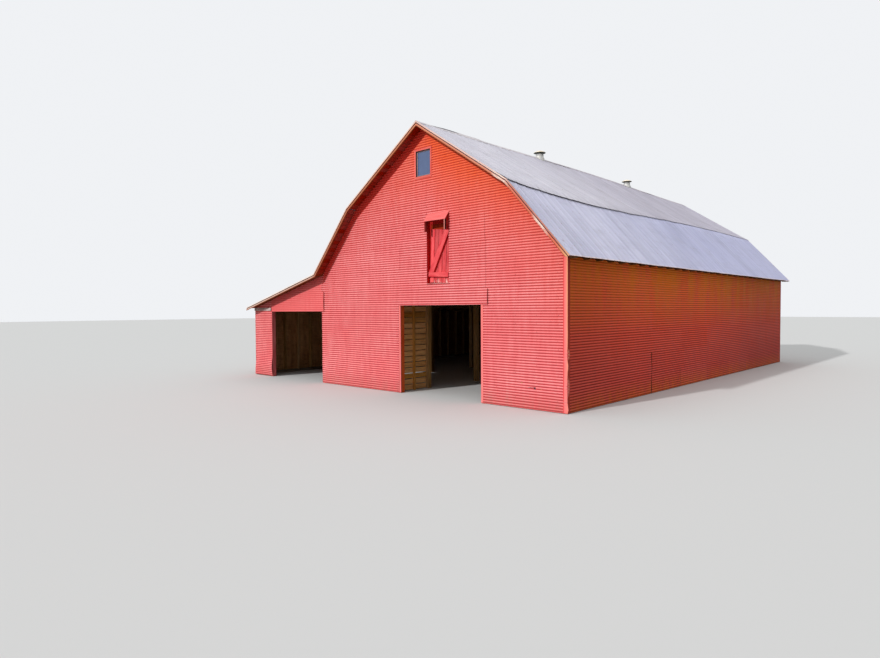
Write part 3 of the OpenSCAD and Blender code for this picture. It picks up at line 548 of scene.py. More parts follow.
# painted shade: a near-black paint for boards that stand where there is only shade
shadePaint = {"paint": (0.045, 0.03, 0.045), "faded": (0.07, 0.045, 0.06), "bare": (0.05, 0.04, 0.04)}
shadeWood = paintedWood("paintedShadeBoards", **shadePaint)

print("2 materials ready")

# Wall cladding: corrugated sheets with level waves, nine waves to a course, lapped at ends and edges
cladding = {"coverWaves": 9, "lapWaves": 1.25, "endLap": 0.09, "column": 0.3, "thickness": 0.0008,
            "footOut": 0.0030, "ripple": 0.0035, "jitter": 0.03, "under": 0.0012}
underBoards = barn["sheet"] + barn["boards"] + 0.002


# Cutting planes under the roof boards: a point and an upward direction in the x-z plane
def roofPlane(x, z, fall, side):
    normal = Vector((side * fall, 0, 1)).normalized()
    return Vector((x, 0, z)) - normal * underBoards, normal


gableCuts = [roofPlane(0, barn["ridge"], upperFall, side) for side in (-1, 1)] \
    + [roofPlane(side * barn["eaveX"], barn["eave"], barn["lowerFall"], side) for side in (-1, 1)]
leanCuts = [roofPlane(-barn["eaveX"], barn["eave"], barn["leanFall"], -1)]


# face gives the foot of u = 0 and the level directions along and out. A dent is (u, z, half width, half
# height, depth), a gap is (seam, low z, high z, width), and popped gives how far a sheet has come off at
# (seam, course).
def wallOf(face, u, z, material, seed, cuts=(), seams=(), dents=(), holes=(), punctures=(), gaps=(),
           popped=None, wave=1.0):
    return {"corner": face[0], "along": face[1], "out": face[2], "u": u, "z": z, "material": material,
            "seed": seed, "cuts": cuts, "seams": seams, "dents": dents, "holes": [*holes],
            "punctures": [*punctures], "gaps": gaps, "popped": popped or {}, "wave": wave}


sideTop = nodeSpan("right_side_wall")[1].z
frontFace = (0, 0), (1, 0), (0, -1)
backFace = (0, barn["length"]), (1, 0), (0, 1)
rightFace = (barn["half"], 0), (0, 1), (1, 0)
leftFace = (barn["leanX"], 0), (0, 1), (-1, 0)
leanSpan, barnSpan = (0.0, barn["eave"]), (0.0, barn["ridge"])
walls = {
    "frontCladding": wallOf(
        frontFace, (leanDoor["right"], barn["half"]), barnSpan, frontRed, 3, gableCuts, (-1.09, 2.09),
        [(3.65, 0.53, 0.22, 0.07, -0.02), (3.1, 0.62, 0.7, 0.05, -0.012), (4.4, 1.15, 0.25, 0.35, 0.016),
         (4.45, 0.25, 0.2, 0.3, 0.02), (-1.3, 1.62, 0.4, 0.05, -0.014), (2.8, 1.35, 0.6, 0.06, -0.01)],
        [(mainDoor["left"], mainDoor["right"], -1, mainDoor["top"]), (hayLeft, hayRight, hayFoot, hayTop),
         windowHole], [(3.63, 3.68, 0.500, 0.550), (3.46, 3.63, 0.528, 0.540)],
        popped={(2.09, 5): 0.006, (2.09, 6): 0.005, (2.09, 7): 0.006, (-1.09, 6): 0.003}),
    "leanToFrontSheets": wallOf(frontFace, (barn["leanX"], leanDoor["left"]), leanSpan, frontRed, 5, leanCuts,
                                dents=[(-8.0, 0.35, 0.35, 0.5, 0.045), (-9.1, 0.1, 0.3, 0.5, 0.03)]),
    "leanToHeaderSheets": wallOf(((0, -0.013), *frontFace[1:]), (leanDoor["left"], leanDoor["right"] + 0.13),
                                 (leanDoor["top"], 3.07), headerRed, 6, leanCuts,
                                 dents=[(-4.75, 2.7, 0.12, 0.6, 0.02)], wave=0.45),
    "leanToUpperSheets": wallOf(frontFace, (leanDoor["left"], leanDoor["right"]), (3.05, barn["eave"]),
                                headerRed, 14, leanCuts, wave=0.45),
    "rightSideCladding": wallOf(rightFace, (0.0, barn["length"]), (0.0, sideTop), sideRed, 7, (),
                                (2.2, 4.6, 6.75, 9.1, 11.4, 13.7, 16.0),
                                [(4.45, 0.6, 0.25, 0.6, 0.03), (6.7, 0.3, 0.3, 0.35, 0.02),
                                 (0.4, 0.4, 0.4, 0.4, 0.012)],
                                gaps=[(4.6, 0.06, 1.30, 0.05), (6.75, 0.0, 0.45, 0.02)]),
    "backCladding": wallOf(backFace, (-barn["half"], barn["half"]), barnSpan, backRed, 9, gableCuts,
                           (-2.3, 0.0, 2.3)),
    "leanToBackCladding": wallOf(backFace, (barn["leanX"], -barn["half"]), leanSpan, backRed, 10, leanCuts,
                                 (-6.85,)),
    "leanToSideCladding": wallOf(leftFace, (0.0, barn["length"]), (0.0, nodeSpan("lean_to_side_wall")[1].z),
                                 sideRed, 11, (), (2.3, 4.6, 6.9, 9.2, 11.5, 13.8, 16.1)),
}
clothed = {"frontCladding": ("front_wall_left", "front_wall_right", "front_gable"), "leanToUpperSheets": (),
           "leanToFrontSheets": ("lean_to_front_wall",), "leanToHeaderSheets": ("lean_to_header_sheet",),
           "rightSideCladding": ("right_side_wall",), "backCladding": ("back_wall",),
           "leanToBackCladding": ("lean_to_back_wall",), "leanToSideCladding": ("lean_to_side_wall",)}


def steps(low, high, size, extra=()):
    count = max(1, round((high - low) / size))
    marks = {round(low + (high - low) * i / count, 5) for i in range(count + 1)}
    return sorted(marks | {round(e, 5) for e in extra if low < e < high})


def wallPoint(wall, u, z, out):
    x, y = (wall["corner"][k] + wall["along"][k] * u + wall["out"][k] * out for k in (0, 1))
    return x, y, z


def wallRipple(wall, u, z):
    return cladding["ripple"] * noise.noise(Vector((u * 1.1, z * 2.3, wall["seed"])))


def addWallSheet(sketch, wall, u0, u1, z0, z1, dice, lift=(0.0, 0.0)):
    holes = wall["holes"] + wall["punctures"]
    tone = dice.random()
    us = steps(u0, u1, cladding["column"], [h[k] for h in holes for k in (0, 1)])
    rise = sheetWave["pitch"] / sheetWave["steps"]
    marks = {z0, z1} | {k * rise for k in range(math.floor(z0 / rise) + 1, math.ceil(z1 / rise))}
    zs = sorted({round(z, 5) for z in marks | {h[k] for h in holes for k in (2, 3) if z0 < h[k] < z1}})
    made = {}

    def corner(i, j):
        if (i, j) not in made:
            u, z = us[i], zs[j]
            hollow = sheetWave["depth"] * (1 - math.cos(2 * math.pi * z / sheetWave["pitch"])) / 2
            out = -hollow * wall["wave"] + cladding["footOut"] * (z1 - z) / (z1 - z0) + wallRipple(wall, u, z)
            out += lift[0] * smoothStep(1 - (u - u0) / 0.2) + lift[1] * smoothStep(1 - (u1 - u) / 0.2)
            for du, dz, halfU, halfZ, depth in wall["dents"]:
                out += depth * bump((u - du) / halfU) * bump((z - dz) / halfZ)
            made[i, j] = addPoint(sketch, wallPoint(wall, u, z, out), tone)
        return made[i, j]

    flip = wall["along"][0] * wall["out"][1] - wall["along"][1] * wall["out"][0] > 0
    for i in range(len(us) - 1):
        for j in range(len(zs) - 1):
            midU, midZ = (us[i] + us[i + 1]) / 2, (zs[j] + zs[j + 1]) / 2
            if not any(h[0] < midU < h[1] and h[2] < midZ < h[3] for h in holes):
                ring = (corner(i, j), corner(i + 1, j), corner(i + 1, j + 1), corner(i, j + 1))
                sketch["faces"].append(tuple(reversed(ring)) if flip else ring)


def cladWall(name, wall):
    dice = random.Random(wall["seed"])
    sketch = newSketch()
    cover = cladding["coverWaves"] * sheetWave["pitch"]
    low, high = wall["z"]
    for course in range(math.ceil(high / cover)):
        z0 = max(low, course * cover - (dice.uniform(0.002, 0.02) if course else -dice.uniform(0.004, 0.03)))
        z1 = min(high, (course + 1) * cover + cladding["lapWaves"] * sheetWave["pitch"])
        if z1 <= low + 0.03:
            continue
        moved = [s + dice.uniform(-1, 1) * cladding["jitter"] for s in wall["seams"]]
        seams = [wall["u"][0], *moved, wall["u"][1]]
        last = len(seams) - 2
        overs = [dice.random() < 0.35 or (s, course) in wall["popped"] for s in (None, *wall["seams"], None)]
        pops = [0.0, *(wall["popped"].get((s, course), 0.0) for s in wall["seams"]), 0.0]
        for k in range(last + 1):
            # the sheet on top at a seam runs on past it
            u0 = seams[k] - (cladding["endLap"] / 2 if k > 0 else 0)
            u1 = seams[k + 1] + (cladding["endLap"] / 2 if k < last else 0)
            for seam, gapLow, gapHigh, wide in wall["gaps"]:
                if gapLow < (z0 + z1) / 2 < gapHigh and abs(seams[k + 1] - seam) < 0.1:
                    u1 = seams[k + 1] - wide / 2
                if gapLow < (z0 + z1) / 2 < gapHigh and abs(seams[k] - seam) < 0.1:
                    u0 = seams[k] + wide / 2
            addWallSheet(sketch, wall, u0, u1, z0, z1, dice, (
                pops[k] if k == 0 or not overs[k] else -cladding["under"],
                pops[k + 1] if k == last or overs[k + 1] else -cladding["under"]))
    makePiece(sketch, name, wall["material"], clothed[name], True, cladding["thickness"],
              bareSheet, wall["cuts"])


for name, wall in walls.items():
    cladWall(name, wall)

# The proud sheet over the main doorway: its right end has come away from the wall
headerLow, headerHigh = nodeSpan("door_header_sheet")
headerSheet = wallOf(((0, -0.012), *frontFace[1:]), None, None, None, 13, dents=[
    (headerHigh.x, 2.8, 0.35, 0.5, 0.03), (0.2, 2.6, 0.8, 0.1, -0.006),
    (headerLow.x, 2.65, 0.15, 0.25, 0.02)])
headerSketch = newSketch()
addWallSheet(headerSketch, headerSheet, headerLow.x, headerHigh.x, headerLow.z - 0.01, headerHigh.z,
             random.Random(13))
makePiece(headerSketch, "doorHeaderSheet", frontRed, ("door_header_sheet",), True,
          cladding["thickness"], bareSheet)

# Nails on the waves' crests: on every stud, about every third wave
nailing = {"radius": 0.009, "spacing": 0.61, "waves": 3, "margin": 0.05, "clear": 0.03, "below": 0.08}


def nailWall(sketch, wall, topAt, dice):
    u = wall["u"][0] + nailing["margin"]
    clear = nailing["clear"]
    while u < wall["u"][1]:
        k = 1
        while k * sheetWave["pitch"] < wall["z"][1]:
            z = k * sheetWave["pitch"]
            at = u + dice.uniform(-0.012, 0.012)
            inHole = any(h[0] - clear < at < h[1] + clear and h[2] - clear < z < h[3] + clear
                         for h in wall["holes"])
            if not inHole and wall["z"][0] < z < topAt(at) and dice.random() < 0.93:
                spot = wallPoint(wall, at, z, cladding["footOut"] * 0.6 + wallRipple(wall, at, z))
                addNailHead(sketch, spot, (*wall["out"], 0), nailing["radius"], dice)
            k += nailing["waves"]
        u += nailing["spacing"]


def underSlope(top, fall, far):        # how high nails may sit under a slope
    return top - far * fall - nailing["below"] * math.hypot(1, fall)


def mainRoofAt(x):
    lower = underSlope(barn["eave"], barn["lowerFall"], abs(x) - barn["eaveX"])
    return min(underSlope(barn["ridge"], upperFall, abs(x)), lower)


def leanRoofAt(x):
    return underSlope(barn["eave"], barn["leanFall"], -x - barn["eaveX"])


nails = newSketch()
nailDice = random.Random(21)
for topAt, names in ((mainRoofAt, ("frontCladding", "backCladding")),
                     (leanRoofAt, ("leanToFrontSheets", "leanToHeaderSheets", "leanToUpperSheets",
                                   "leanToBackCladding")),
                     (lambda y: 99, ("rightSideCladding", "leanToSideCladding"))):
    for name in names:
        nailWall(nails, walls[name], topAt, nailDice)
makePiece(nails, "wallNails", wallNails, smooth=True)

# Folded strips: the right side's corners, dented lower down, and the edges of the main doorway
strips = {"corner": 0.115, "fold": 0.012, "thickness": 0.0015, "step": 0.08, "proud": 0.004, "door": 0.068,
          "kinks": ((0.10, 0.030, 0.14), (0.62, -0.014, 0.30), (1.10, 0.022, 0.16), (1.38, -0.016, 0.18),
                    (1.85, 0.004, 0.3)),
          "low": (1.0, 0.26, 0.245), "high": (1.0, 0.235, 0.20), "bright": (1.0, 0.40, 0.22),
          "deep": (0.84, 0.085, 0.09), "side": (0.42, 0.04, 0.022), "gap": (0.09, 0.008, 0.008)}
stripEdge = barn["half"] + strips["proud"]


def addStrip(sketch, across, heights, kinked, tone):
    rows = []
    for z in heights:
        kink = sum(push * bump((z - at) / half) for at, push, half in strips["kinks"]) if kinked else 0
        rows.append([addPoint(sketch, (x + kink * weight, y - 0.4 * kink * weight, z), tone)
                     for x, y, weight in across])
    joinRows(sketch, rows)


stripSketch = newSketch()
wide, fold = strips["corner"], strips["fold"]
for end, outSign in ((0.0, -1), (barn["length"], 1)):
    face = end + outSign * strips["proud"]
    profile = [(stripEdge - wide, face - outSign * fold, 0), (stripEdge - wide, face, 0.1),
               (stripEdge - wide / 2, face, 0.5), (stripEdge - 0.006, face, 1),
               (stripEdge, face - outSign * 0.006, 1), (stripEdge, face - outSign * wide / 2, 0.5),
               (stripEdge, face - outSign * wide, 0.1), (stripEdge - fold, face - outSign * wide, 0)]
    addStrip(stripSketch, profile[::-outSign], steps(0.01, sideTop, strips["step"]), end == 0.0, 0.75)
for inner, sign in ((mainDoor["left"], -1), (mainDoor["right"], 1)):
    outer, y = inner + sign * strips["door"], -strips["proud"]
    profile = [(outer, 0.008, 0), (outer, y, 0), ((inner + outer) / 2, y - 0.002, 0), (inner, y, 0),
               (inner, 0.03, 0)]
    addStrip(stripSketch, profile[::-sign], steps(0.02, mainDoor["top"] - 0.004, strips["step"]), False, 0.95)


def stripMaterial():
    material = newMaterial("redStrips")
    place = objectPlace()
    x, y, z = split(place)
    runs = cloud(stretch(place, (6, 6, 0.8)), 1.6, 5, 0.65)
    colour = blend(remap(z, 1.5, 3.4), strips["low"], strips["high"])
    colour = blend(remap(runs, 0.35, 0.7, 0, 0.35), colour, strips["deep"])
    inner = stripEdge - strips["corner"]
    colour = blend(times(remap(x, inner + 0.035, inner + 0.02), remap(x, 3.0, 3.1)), colour, strips["deep"])
    colour = blend(times(remap(x, stripEdge - 0.035, stripEdge - 0.015), remap(z, 0.4, 3.0, 0.2, 1)), colour,
                   strips["bright"])
    # painted shade: the corner strip's side face, turned from the sun, takes a dark red
    sideFaceShade = times(remap(x, stripEdge - 0.006, stripEdge - 0.001), remap(y, 0.0, 0.004))
    colour = blend(sideFaceShade, colour, strips["side"])
    # painted shadow: a dark line along the outer edge of the doorway's left strip, for the shadow gap under
    # the sheets' ends
    doorEdge = mainDoor["left"] - strips["door"]
    colour = blend(remap(x, doorEdge + 0.014, doorEdge + 0.008), colour, strips["gap"])
    finishMaterial(colour, 0.6, 0.1, relief=(cloud(place, 40, 3), 0.15, 0.0015))
    return material


makePiece(stripSketch, "edgeFlashings", stripMaterial(), ("edge_flashings",), False,
          strips["thickness"], bareSheet)
# a near-black board behind the torn spot at the front's foot, painted shade for the dark inside
backing = newSketch()
addBoard(backing, (3.50, 0.045, 0.525), right, up, front, 0.32, 0.14, 0.022, random.Random(8))
makePiece(backing, "tornSpotBacking", shadeWood)

print("3 walls clad")

# The roof
roofSag = {"ridge": -0.065, "knee": 0.022, "ripple": 0.004}


def pathFrame(path, d):
    # the point at distance d, its outward normal, and the path's direction
    runs = [Vector((b[0] - a[0], 0, b[1] - a[1])) for a, b in zip(path, path[1:])]
    outs = [Vector((-run.z, 0, run.x)).normalized() * math.copysign(1, run.x) for run in runs]
    spans = [math.dist(a, b) for a, b in zip(path, path[1:])]
    k = 0
    while k < len(spans) - 1 and d > spans[k] + 1e-9:
        d -= spans[k]
        k += 1
    run, out = runs[k].normalized(), outs[k]
    if abs(d - spans[k]) < 1e-9 and k < len(spans) - 1:      # mitre at the knee
        out = (out + outs[k + 1]) / (1 + out.dot(outs[k + 1]))
    return Vector((path[k][0], 0, path[k][1])) + run * d, out, run


def sagAt(y, d):
    share = math.sin(math.pi * max(0.0, min(1.0, y / barn["length"]))) ** 2
    depth = roofSag["ridge"] + (roofSag["knee"] - roofSag["ridge"]) * min(1, d / upperLength)
    if d > upperLength:
        depth = roofSag["knee"] * (1 - (d - upperLength) / lowerLength)
    return depth * share


def roofPoint(path, d, y, h):
    point, out, _ = pathFrame(path, d)
    place = point + out * h
    place.y = y
    place.z -= 0 if path is leanPath else sagAt(y, d)
    return place


roofSheet = {"width": 0.61, "lap": 0.03, "ribs": (0.022, 0.305, 0.588), "ribFoot": 0.017, "ribHeight": 0.011,
             "row": 0.31, "thickness": 0.001, "lapRise": 0.002}
sheetCount = round(rakeLength / roofSheet["width"])
sheetWide = rakeLength / sheetCount
seamCurve = ((-0.5, 0.02), (0.6, 0.17), (2.0, 0.26), (3.5, 0.28), (5.5, 0.22), (7.5, 0.11), (9.5, 0.01),
             (12.0, -0.09), (14.5, -0.13), (17.0, -0.08), (19.0, 0.0))


def seamAt(y):                   # how far past the knee the upper sheets reach
    for (y0, c0), (y1, c1) in zip(seamCurve, seamCurve[1:]):
        if y <= y1:
            return c0 + (c1 - c0) * smoothStep((y - y0) / (y1 - y0))
    return seamCurve[-1][1]


def sheetColumns():
    marks = {0.0, roofSheet["width"] + roofSheet["lap"]}
    for rib in roofSheet["ribs"]:
        marks |= {rib - roofSheet["ribFoot"], rib, rib + roofSheet["ribFoot"]}
    for low, high in zip(roofSheet["ribs"], roofSheet["ribs"][1:]):
        marks |= {low + (high - low) * k / 4 for k in (1, 2, 3)}
    return sorted(marks)


def ribRise(offset):
    near = min(abs(offset - rib) for rib in (*roofSheet["ribs"], roofSheet["width"] + roofSheet["ribs"][0]))
    return roofSheet["ribHeight"] * max(0.0, 1 - near / roofSheet["ribFoot"])


# head and foot give the distances between which a sheet lies, for its y. lipAt lifts its foot off.
def layRoof(name, path, material, head, foot, replaced, seed, knee=None, lipAt=None, layer=0.0, inner=None):
    dice = random.Random(seed)
    sketch = newSketch()
    rowCount = round((foot(barn["length"] / 2) - head(barn["length"] / 2)) / roofSheet["row"])
    for i in range(sheetCount):
        startY = -barn["rake"] + i * sheetWide
        tone = dice.random()
        slip = dice.uniform(-0.012, 0.0)
        made = []
        cols = [c * sheetWide / roofSheet["width"] for c in sheetColumns()]
        if i == sheetCount - 1:
            cols = [c for c in cols if c < sheetWide] + [sheetWide]
        for c in cols:
            y = min(startY + c, -barn["rake"] + rakeLength)
            d0, d1 = head(y), foot(y) + slip
            rows = [d0 + (d1 - d0) * k / rowCount for k in range(rowCount + 1)]
            if knee is not None and d0 + 0.01 < knee < d1 - 0.01:       # one row lies on the bend
                rows[min(range(1, rowCount), key=lambda k: abs(rows[k] - knee))] = knee
            line = []
            for d in rows:
                h = layer - roofSheet["ribHeight"] + ribRise(c * roofSheet["width"] / sheetWide)
                h += roofSheet["lapRise"] * (i % 2)
                h += roofSag["ripple"] * noise.noise(Vector((y * 1.3, d * 0.9, seed)))
                if lipAt:
                    h += lipAt(y) * smoothStep(1 - (d1 - d) / 0.45)
                if d == rows[-1]:
                    h -= 0.004
                line.append(addPoint(sketch, roofPoint(path, d, y, h), tone, (d, y, i)))
            made.append(line)
        for a, b in zip(made, made[1:]):
            for k in range(rowCount):
                ring = (a[k], b[k], b[k + 1], a[k + 1])
                sketch["faces"].append(ring if path[0][0] > path[-1][0] else tuple(reversed(ring)))
    makePiece(sketch, name, material, replaced, True, roofSheet["thickness"], inner)


# painted shade: the upper sheets' undersides are near black, for the shade in the gap under their lifted
# lower edges
underShade = newMaterial("roofSheetUnderShade")
finishMaterial(blend(cloud(objectPlace(), 6, 5, 0.7), (0.02, 0.018, 0.022), (0.09, 0.06, 0.045)), 0.9)


def lipAlong(y):                 # the loose lower edge of the upper sheets stands off most near the front
    return 0.020 + 0.014 * bump((y - 2.5) / 6.0) + 0.004 * noise.noise(Vector((y * 1.7, 3.1, 0)))


# upper sheets bend over the knee; where the seam lies above it they end on the upper slope
for label, path, seed, lowerHead, upperFoot, lip in (
        ("Right", rightPath, 31, lambda y: upperLength + seamAt(y) - 0.16,
         lambda y: upperLength + seamAt(y), lipAlong),
        ("Left", leftPath, 32, lambda y: upperLength - 0.02, lambda y: upperLength + 0.07, lambda y: 0.006)):
    layRoof("lowerRoof" + label, path, lowerZincSkyTint, lowerHead, lambda y: roofLength - 0.001,
            ("roof_lower_" + label.lower(),), seed, upperLength)
    layRoof("upperRoof" + label, path, upperZinc, lambda y: 0.0, upperFoot, ("roof_upper_" + label.lower(),),
            seed + 2, upperLength, lip, 0.004, underShade)
layRoof("leanToRoof", leanPath, lowerZincSkyTint, lambda y: -0.035, lambda y: leanLength, ("lean_to_roof",), 37)

print("4 roof laid")

# Roof boards, seen from below past the walls and the eave, in boards of random length
boarding = {"width": 0.15, "gap": 0.007, "lengths": (2.4, 4.3), "shortest": 0.6}


def layBoards(sketch, path, low, high, dice):
    d = low
    while d < high - 0.04:
        wide = min(boarding["width"], high - d)
        y = -barn["rake"] + barn["boards"]
        end = rakeEnd - barn["boards"]
        while y < end - 0.05:
            reach = min(end - y, dice.uniform(*boarding["lengths"]))
            if end - (y + reach) < boarding["shortest"]:
                reach = end - y
            point, out, run = pathFrame(path, d + wide / 2)
            start = point - out * (barn["sheet"] + barn["boards"] / 2 + dice.uniform(0, 0.0015))
            start.y = y
            first = len(sketch["points"])
            addBoard(sketch, start, back, run, out, reach - 0.002, wide - boarding["gap"], barn["boards"],
                     dice, eased, 4)
            if path is not leanPath:                 # the board bends with the roof
                sketch["points"][first:] = [(px, py, pz - sagAt(py, d + wide / 2))
                                            for px, py, pz in sketch["points"][first:]]
            y += reach
        d += boarding["width"]


boardSketch = newSketch()
boardDice = random.Random(41)
for path, low, high in ((rightPath, 0.02, upperLength - 0.03), (leftPath, 0.02, upperLength - 0.03),
                        (rightPath, upperLength + 0.005, roofLength - 0.060),
                        (leftPath, upperLength + 0.005, roofLength - 0.009),
                        (leanPath, -0.025, leanLength - 0.03)):
    layBoards(boardSketch, path, low, high, boardDice)
boardWood = woodMaterial("roofBoardWood", dark=(0.13, 0.028, 0.008), light=(0.36, 0.085, 0.030),
                         grey=(0.30, 0.15, 0.09), greyShare=0.15, spread=(0.94, 1.05),
                         oversprayShade=(0.34, 0.026, 0.013))
makePiece(boardSketch, "roofBoards", boardWood, ("roof_boards",))

# Rake boards with a metal edge strip, mitred where the roof bends, and fillets behind them in near-black
# paint, painted shade in the groove
rake = {"deep": 0.10, "thick": 0.022, "strip": 0.036, "groove": 0.024, "levelCut": 0.03,
        "fillet": (0.030, 0.085, 0.010), "filletBack": 0.0285, "boardBack": 0.006}
rakeLine = [Vector(p) for p in (leanPath[1], leanPath[0], leftPath[1], leftPath[0], rightPath[1],
                                rightPath[2])]


def rakePoint(k, depth):
    # corner k of the rake line moved down square to both its runs
    corner = rakeLine[k]
    runs = [(b - a).normalized() for a, b in zip(rakeLine, rakeLine[1:])][max(0, k - 1):k + 1]
    downs = [Vector((r.y, -r.x)) for r in runs]
    move = downs[0] if len(downs) == 1 else (downs[0] + downs[1]) / (1 + downs[0].dot(downs[1]))
    if k == 0:                                    # a plumb cut at the left
        move = Vector((0, -1)) * math.hypot(1, barn["leanFall"])
    place = corner + move * depth
    cut = corner.y - rake["levelCut"]
    if k == len(rakeLine) - 1 and place.y < cut:  # a level one at the right
        place += runs[0] * ((cut - place.y) / runs[0].y)
    return place


def addRake(sketch, faceY, outSign, top, foot, thick, dice, pieceLength=3.4, wobble=0.0, parts=4):
    for k in range(len(rakeLine) - 1):
        a0, b0, a1, b1 = rakePoint(k, top), rakePoint(k + 1, top), rakePoint(k, foot), rakePoint(k + 1, foot)
        length = (b0 - a0).length
        count = max(1, round(length / pieceLength))
        for i in range(count):
            s0, s1 = i / count, (i + 1) / count
            tone, shift = dice.random(), dice.uniform(0, 50)
            push = dice.uniform(0, wobble)
            rings = []
            for j in range(parts + 1):
                s = s0 + (s1 - s0) * j / parts - (0.0012 if j == parts and i < count - 1 else 0)
                upper, under = a0.lerp(b0, s), a1.lerp(b1, s) + Vector((0, dice.uniform(-0.002, 0.003)))
                rings.append([addPoint(sketch, (p.x, faceY - outSign * (y - push), p.y), tone,
                                       (s * length + shift, w * (foot - top) + shift, w))
                              for p, y, w in ((upper, 0, 0.0), (upper, thick, 0.0), (under, thick, 1.0),
                                              (under, 0, 1.0))])
            joinRings(sketch, rings, outSign < 0)


rakeSketch, rakeStrips, rakeFillets = newSketch(), newSketch(), newSketch()
rakeDice = random.Random(51)
for faceY, outSign in ((-barn["rake"], -1), (rakeEnd, 1)):
    addRake(rakeSketch, faceY - outSign * rake["boardBack"], outSign, rake["strip"] + rake["groove"],
            barn["sheet"] + rake["deep"], rake["thick"], rakeDice, wobble=0.002)
    addRake(rakeStrips, faceY, outSign, 0.001, rake["strip"], 0.003, rakeDice, 3.0)
    addRake(rakeFillets, faceY - outSign * rake["filletBack"], outSign, *rake["fillet"], random.Random(53))
# painted shade: the zones along the main roof's left slope are a darker brown
rakeWood = paintedWood("rakeBoards", bare=(0.40, 0.13, 0.06), wear=0.62, rough=0.7,
                       edge=(0.30, 0.085, 0.03), zones=(
    (-9.2, (0.82, 0.57, 0.48)), (-4.95, (0.78, 0.50, 0.40)), (-4.75, (0.46, 0.15, 0.09)),
    (-0.4, (0.55, 0.20, 0.11)), (0.1, (0.84, 0.32, 0.20)), (2.9, (0.86, 0.33, 0.22)),
    (3.4, (0.88, 0.19, 0.13)), (4.5, (0.90, 0.20, 0.13)), (4.8, (0.98, 0.52, 0.25))),
                       chalky=((2.75, 3.0), (3.95, 4.15)))
rakePiece = makePiece(rakeSketch, "rakeBoards", rakeWood, ("rake_boards",))
soften = rakePiece.modifiers.new("soften", "BEVEL")
soften.width = 0.002
soften.limit_method = "ANGLE"
stripWood = paintedWood("rakeEdgeStrip", bare=(0.34, 0.17, 0.11), wear=0.66, rough=0.7, zones=(
    (-9.2, (1.0, 0.90, 0.84)), (-4.95, (0.98, 0.84, 0.76)), (-4.75, (0.85, 0.54, 0.44)),
    (-0.4, (0.95, 0.62, 0.50)), (0.1, (0.92, 0.64, 0.57)), (2.9, (0.90, 0.60, 0.53)),
    (3.3, (0.66, 0.24, 0.17)), (4.5, (0.62, 0.22, 0.16)), (4.8, (0.95, 0.48, 0.26))), chalky=((2.7, 3.0),))
makePiece(rakeStrips, "rakeEdgeStrips", stripWood)
makePiece(rakeFillets, "rakeFillets", paintedWood("rakeFilletShadeBoards", **shadePaint))

# Ridge cap: folded lengths, lapped, with edges that have lifted a little
cap = {"reach": 0.155, "piece": 2.44, "lap": 0.08, "thickness": 0.0012, "lift": 0.014,
       "lifted": ((6.9, 1.0), (14.3, 0.9)), "crest": (1.55, 1.35, 0.022),
       "across": (-1.0, -0.92, -0.5, -0.12, -0.05, 0.0, 0.05, 0.12, 0.5, 0.92, 1.0)}
capSketch = newSketch()
capDice = random.Random(61)


def capPoint(s, y, index):        # s runs from -1 at the left edge to 1 at the right one
    path = rightPath if s >= 0 else leftPath
    h = 0.003 + (index % 2) * 0.0015 + (0.004 * noise.noise(Vector((y * 2, s, 7))) if abs(s) > 0.8 else 0)
    h -= 0.006 if abs(s) == 1.0 else 0
    h += cap["lift"] * max(bump((y - at) / half) for at, half in cap["lifted"]) * smoothStep(s)
    place = roofPoint(path, abs(s) * cap["reach"], y, h)
    if abs(s) < 0.1:
        place.z = roofPoint(path, 0.0, y, 0.0).z + 0.004 - 0.004 * (abs(s) / 0.05)
    at, half, rise = cap["crest"]
    place.z += rise * smoothStep(2 * bump((y - at) / half)) * max(0.0, 1 - 1.6 * abs(s))
    return place


y = -barn["rake"]
index = 0
while y < rakeEnd - 0.1:
    tone = capDice.random()
    joinRows(capSketch, [[addPoint(capSketch, capPoint(s, yy, index), tone,
                                   (abs(s) * cap["reach"], yy, index))
                          for s in cap["across"]]
                         for yy in steps(y, min(rakeEnd, y + cap["piece"] + cap["lap"]), 0.2)])
    y += cap["piece"]
    index += 1
makePiece(capSketch, "ridgeCap", capZinc, ("ridge_flashing",), True, cap["thickness"])

# Nails on the roof's ribs
roofNailSketch = newSketch()
roofNailDice = random.Random(71)
nailRows = {"first": 0.22, "spacing": 0.62, "radius": 0.009}
for path, low, high in ((rightPath, 0.0, upperLength), (rightPath, upperLength, roofLength),
                        (leftPath, 0.0, upperLength), (leftPath, upperLength, roofLength),
                        (leanPath, 0.0, leanLength)):
    for i in range(sheetCount):
        for rib in roofSheet["ribs"][:2]:
            d = low + nailRows["first"]
            while d < high - 0.06:
                y = -barn["rake"] + i * sheetWide + rib * sheetWide / roofSheet["width"]
                if roofNailDice.random() < 0.9:
                    addNailHead(roofNailSketch, roofPoint(path, d, y, 0.004), pathFrame(path, d)[1],
                                nailRows["radius"], roofNailDice, 6)
                d += nailRows["spacing"]
makePiece(roofNailSketch, "roofNails", roofNails, smooth=True)

# Ridge ventilators: a turned neck on a saddle, with a coned cap on a rolled rim
vents = {"foot": 0.145, "neck": 0.118, "cap": 0.19, "brim": 0.208, "height": 0.268, "sides": 40,
         "cone": 0.075, "rim": 0.010}


